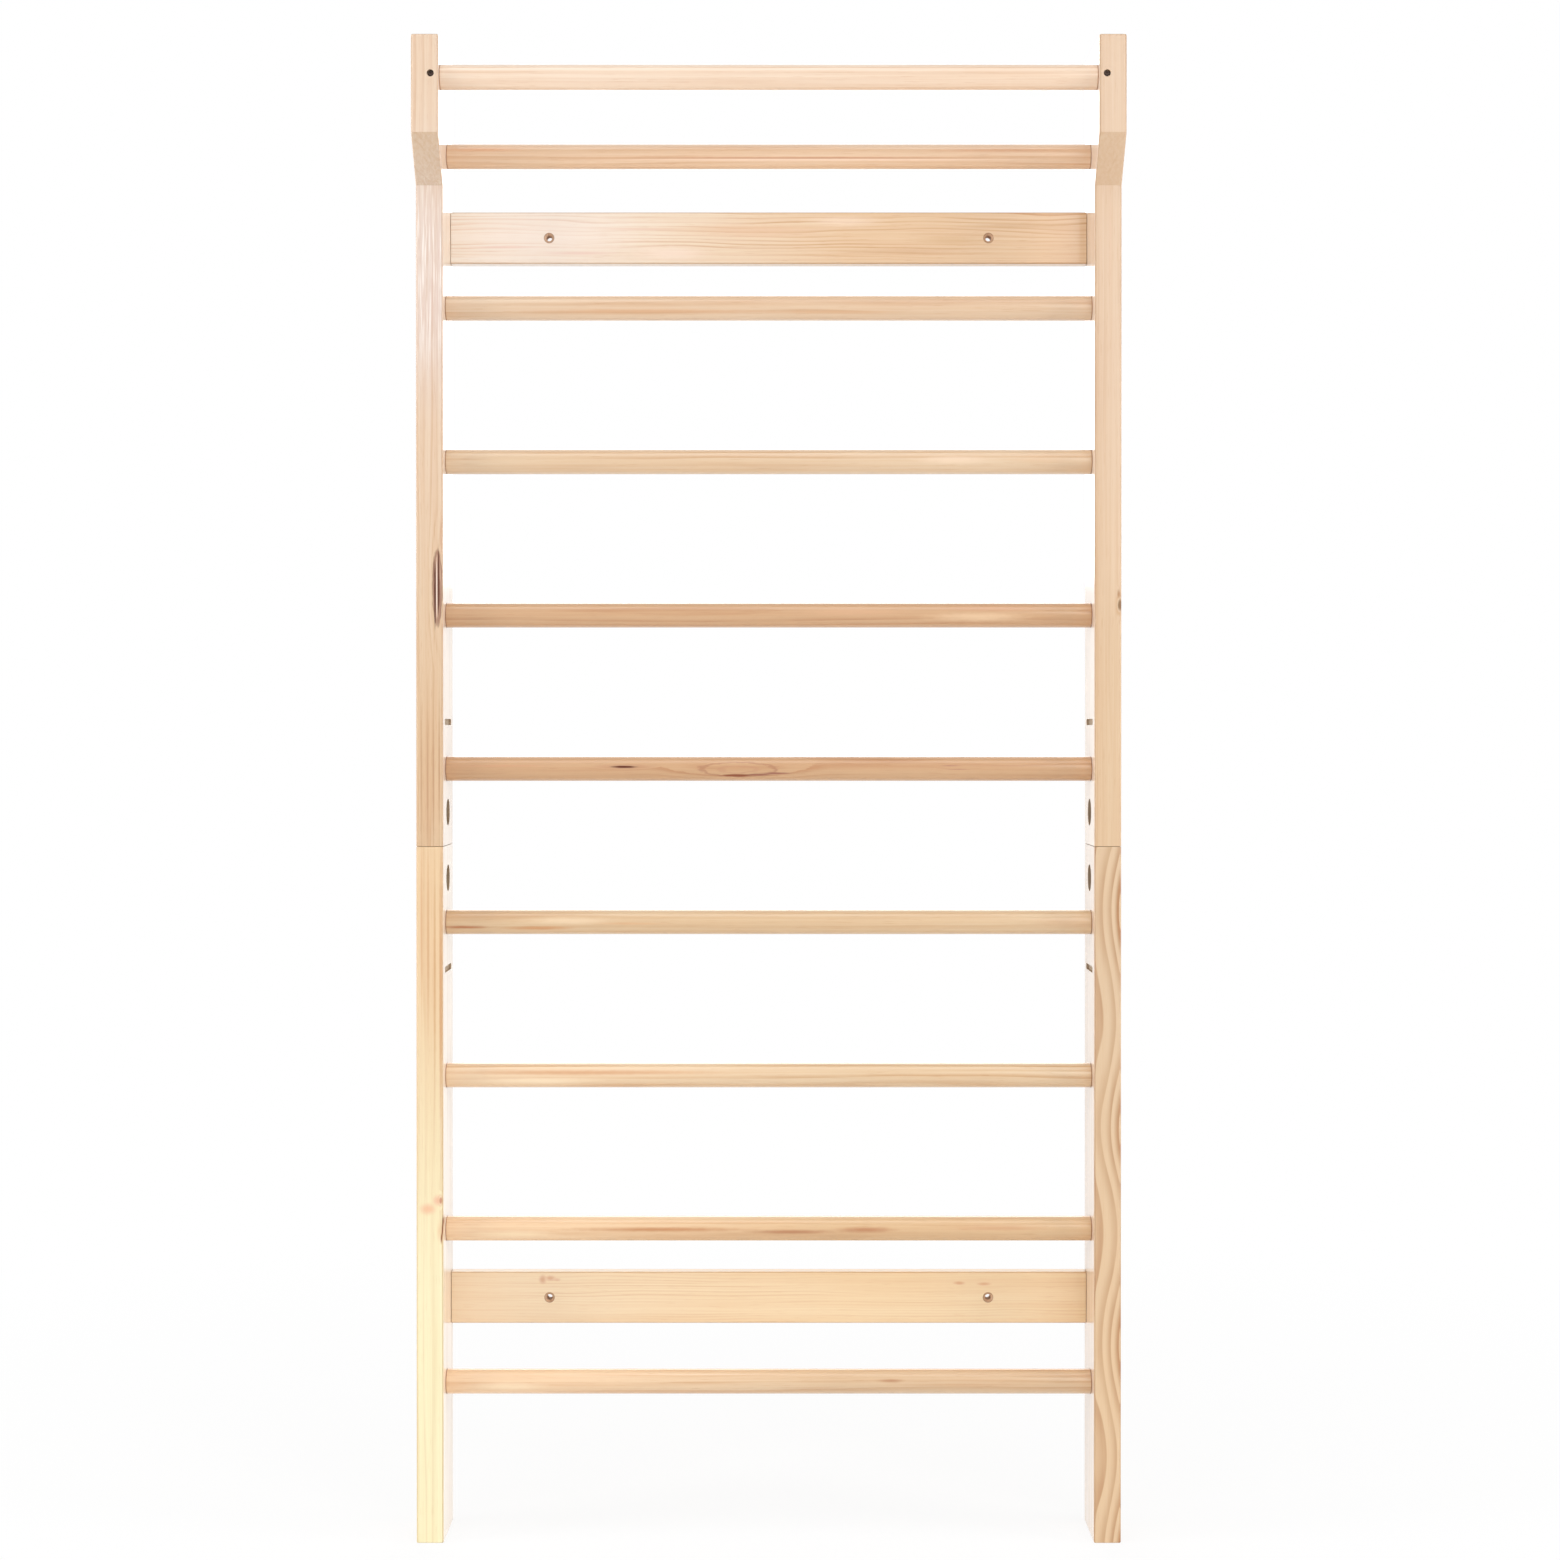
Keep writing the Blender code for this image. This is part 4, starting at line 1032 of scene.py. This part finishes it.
start, end = (low.x, SHAFT_Y, pocket_z), (high.x, SHAFT_Y, pocket_z)
washer = add_round("washer_pattern", high.y - SHAFT_Y, start, end, FINE_SIDES)
bpy.ops.object.mode_set(mode="EDIT")
bpy.ops.mesh.select_all(action="SELECT")
bpy.ops.mesh.bisect(plane_co=(0, 0, high.z), plane_no=(0, 0, 1), clear_outer=True, use_fill=True)
round_over(WASHER_EDGE_RADIUS, 2, lambda e: len(e.link_faces) == 2 and e.calc_face_angle() > SHARP_TURN)
bpy.ops.object.mode_set(mode="OBJECT")
start, end = (POST_X, SHAFT_Y, SEAM_Z), (POST_X, SHAFT_Y, SEAM_Z + WASHER_BORE_REACH)
drill(washer, [add_round("bore", NUT_BORE_RADIUS, start, end)])
for side, sign in (("left", 1), ("right", -1)):
    for place, up in (("upper", 1), ("lower", -1)):
        height = SEAM_Z + up * (nut_z - SEAM_Z)
        turn = (0, 0, 0) if up > 0 else (math.pi, 0, 0)
        piece = placed(copy_of(nut, f"zinc_nut_{side}_{place}"), turn, (sign * POST_X, SHAFT_Y, height))
        smooth(piece)
        dress(piece, zinc, "zinc_steel", f"{side}_seam_nut_{place}")
        piece = copy_of(washer, f"zinc_half_moon_{side}_{place}", step=(-POST_X, -SHAFT_Y, -SEAM_Z))
        placed(piece, turn, (sign * POST_X, SHAFT_Y, SEAM_Z))
        smooth(piece)
        dress(piece, zinc, "zinc_steel", f"{side}_seam_washer_{place}")
bpy.data.objects.remove(nut)
bpy.data.objects.remove(washer)

# Four beech dowels cross the seams, out of sight in blind holes, and keep the lengths of a post in line.
# They are the solids of the frame, in the plain colour of raw beech.
beech, tree, shader, (x, y, z) = start_material("raw_beech")
grain = speckle(tree, (x * 700, y * 700, z * 40), 3.0)
colour = blend(tree, "MIX", grain.rise(0.35, 0.7) * 0.6, seen(222, 184, 140), seen(188, 146, 104))
tree.links.new(colour.socket, shader.inputs["Base Color"])
tree.links.new((0.6 + grain * 0.15).socket, shader.inputs["Roughness"])
for side in ("left", "right"):
    for place in ("front", "back"):
        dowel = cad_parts[f"{side}_seam_dowel_{place}"]
        dowel.data.materials.clear()
        dowel.data.materials.append(beech)

# Zinc-plated countersunk screws, 4.5 x 70 mm, come through the posts from outside into the ends of the
# boards, two at each end. Their heads lie just under the surface.
RECESS_DEPTH = 0.0015
RECESS_OVERRUN = 0.001
RIM_RISE, RIM_DROP = 0.0005, 0.0003
BOARD_SCREW_RADIUS, BOARD_SCREW_ROOT_RADIUS = 0.00225, 0.0016
BOARD_HEAD_RADIUS, BOARD_HEAD_TOP_RADIUS = 0.0045, 0.0042
BOARD_HEAD_LIP, BOARD_HEAD_HEIGHT = 0.0002, 0.0027
BOARD_RECESS_WIDTH = 0.004
BOARD_THREAD_START, BOARD_THREAD_END, BOARD_SCREW_TIP = -0.030, -0.0635, -0.070
BOARD_THREAD_STEPS = (0.0007, 0.0013, 0.0018, 0.002)
BOARD_SCREW_SINK = 0.0004


def add_recess(screw, top, width):
    """Cuts a hexagon recess into a screw's head, with a chamfered rim."""
    radius = width / 2 / math.cos(math.pi / HEXAGON)
    start, end = (0, 0, top - RECESS_DEPTH), (0, 0, top + RECESS_OVERRUN)
    drill(screw, [add_round("recess", radius, start, end, HEXAGON)])
    rise, drop = top + RIM_RISE, top - RIM_DROP
    rim = spun("rim", [(0, rise), (radius + RIM_RISE, rise), (radius - RIM_DROP, drop), (0, drop)])
    drill(screw, [rim])


def thread_below(height, end, root, radius, steps):
    """The ridges of a thread from a height down to its end, with the steps in and out of each ridge."""
    into, along, out, pitch = steps
    ridges = []
    while height > end:
        ridges += [(root, height - into), (root, height - along), (radius, height - out)]
        height -= pitch
    return ridges


screw = spun("screw_pattern", [
    (0, 0), (BOARD_HEAD_TOP_RADIUS, 0), (BOARD_HEAD_RADIUS, -BOARD_HEAD_LIP),
    (BOARD_SCREW_RADIUS, -BOARD_HEAD_HEIGHT), (BOARD_SCREW_RADIUS, BOARD_THREAD_START),
    *thread_below(
        BOARD_THREAD_START, BOARD_THREAD_END, BOARD_SCREW_ROOT_RADIUS, BOARD_SCREW_RADIUS, BOARD_THREAD_STEPS
    ),
    (0, BOARD_SCREW_TIP),
], THREAD_SIDES)
add_recess(screw, 0, BOARD_RECESS_WIDTH)
for side, sign in (("left", -1), ("right", 1)):
    for length, board_z in (("upper", UPPER_BOARD_Z), ("lower", LOWER_BOARD_Z)):
        for place, z in (("top", board_z + BOARD_SCREW_SPREAD), ("bottom", board_z - BOARD_SCREW_SPREAD)):
            spot = (-sign * (OUTER_X + BOARD_SCREW_SINK), BOARD_SCREW_Y, z)
            name = f"zinc_screw_{side}_{length}_{place}"
            piece = placed(copy_of(screw, name), (0, sign * math.pi / 2, 0), spot)
            smooth(piece)
            dress(piece, zinc, "zinc_steel", f"{side}_{length}_board_screw_{place}")
bpy.data.objects.remove(screw)

# Two blackened pan-head screws are sunk into the heads' fronts and go through the ends of the top rung, so
# that it can't turn or come out.
TOP_HEAD_HEIGHT = 0.0025
TOP_HEAD_ROUND = ((0.0024, 0), (0.0032, 0.0003), (0.0037, 0.0009), (0.0039, TOP_HEAD_HEIGHT))
TOP_SCREW_RADIUS, TOP_SCREW_ROOT_RADIUS = 0.002, 0.0014
TOP_SCREW_LENGTH = 0.024
TOP_SCREW_POINT = 0.006
TOP_THREAD_STEPS = (0.0007, 0.0012, 0.0016, 0.0018)
TOP_RECESS_WIDTH = 0.003

top = FIT - TOP_SCREW_SEAT + TOP_HEAD_HEIGHT
seat = top - TOP_HEAD_HEIGHT
tip = FIT - TOP_SCREW_SEAT - TOP_SCREW_LENGTH
screw = spun("top_screw_pattern", [
    (0, top), *((radius, top - drop) for radius, drop in TOP_HEAD_ROUND), (TOP_SCREW_RADIUS, seat),
    *thread_below(seat, tip + TOP_SCREW_POINT, TOP_SCREW_ROOT_RADIUS, TOP_SCREW_RADIUS, TOP_THREAD_STEPS),
    (0, tip),
], ROUND_SIDES)
add_recess(screw, top, TOP_RECESS_WIDTH)
for side, x in (("left", TOP_SCREW_X), ("right", -TOP_SCREW_X)):
    piece = placed(copy_of(screw, f"black_screw_{side}"), (math.pi / 2, 0, 0), (x, HEAD_Y, TOP_RUNG_Z))
    smooth(piece)
    dress(piece, blackened, "black_screw", f"{side}_top_rung_screw")
bpy.data.objects.remove(screw)
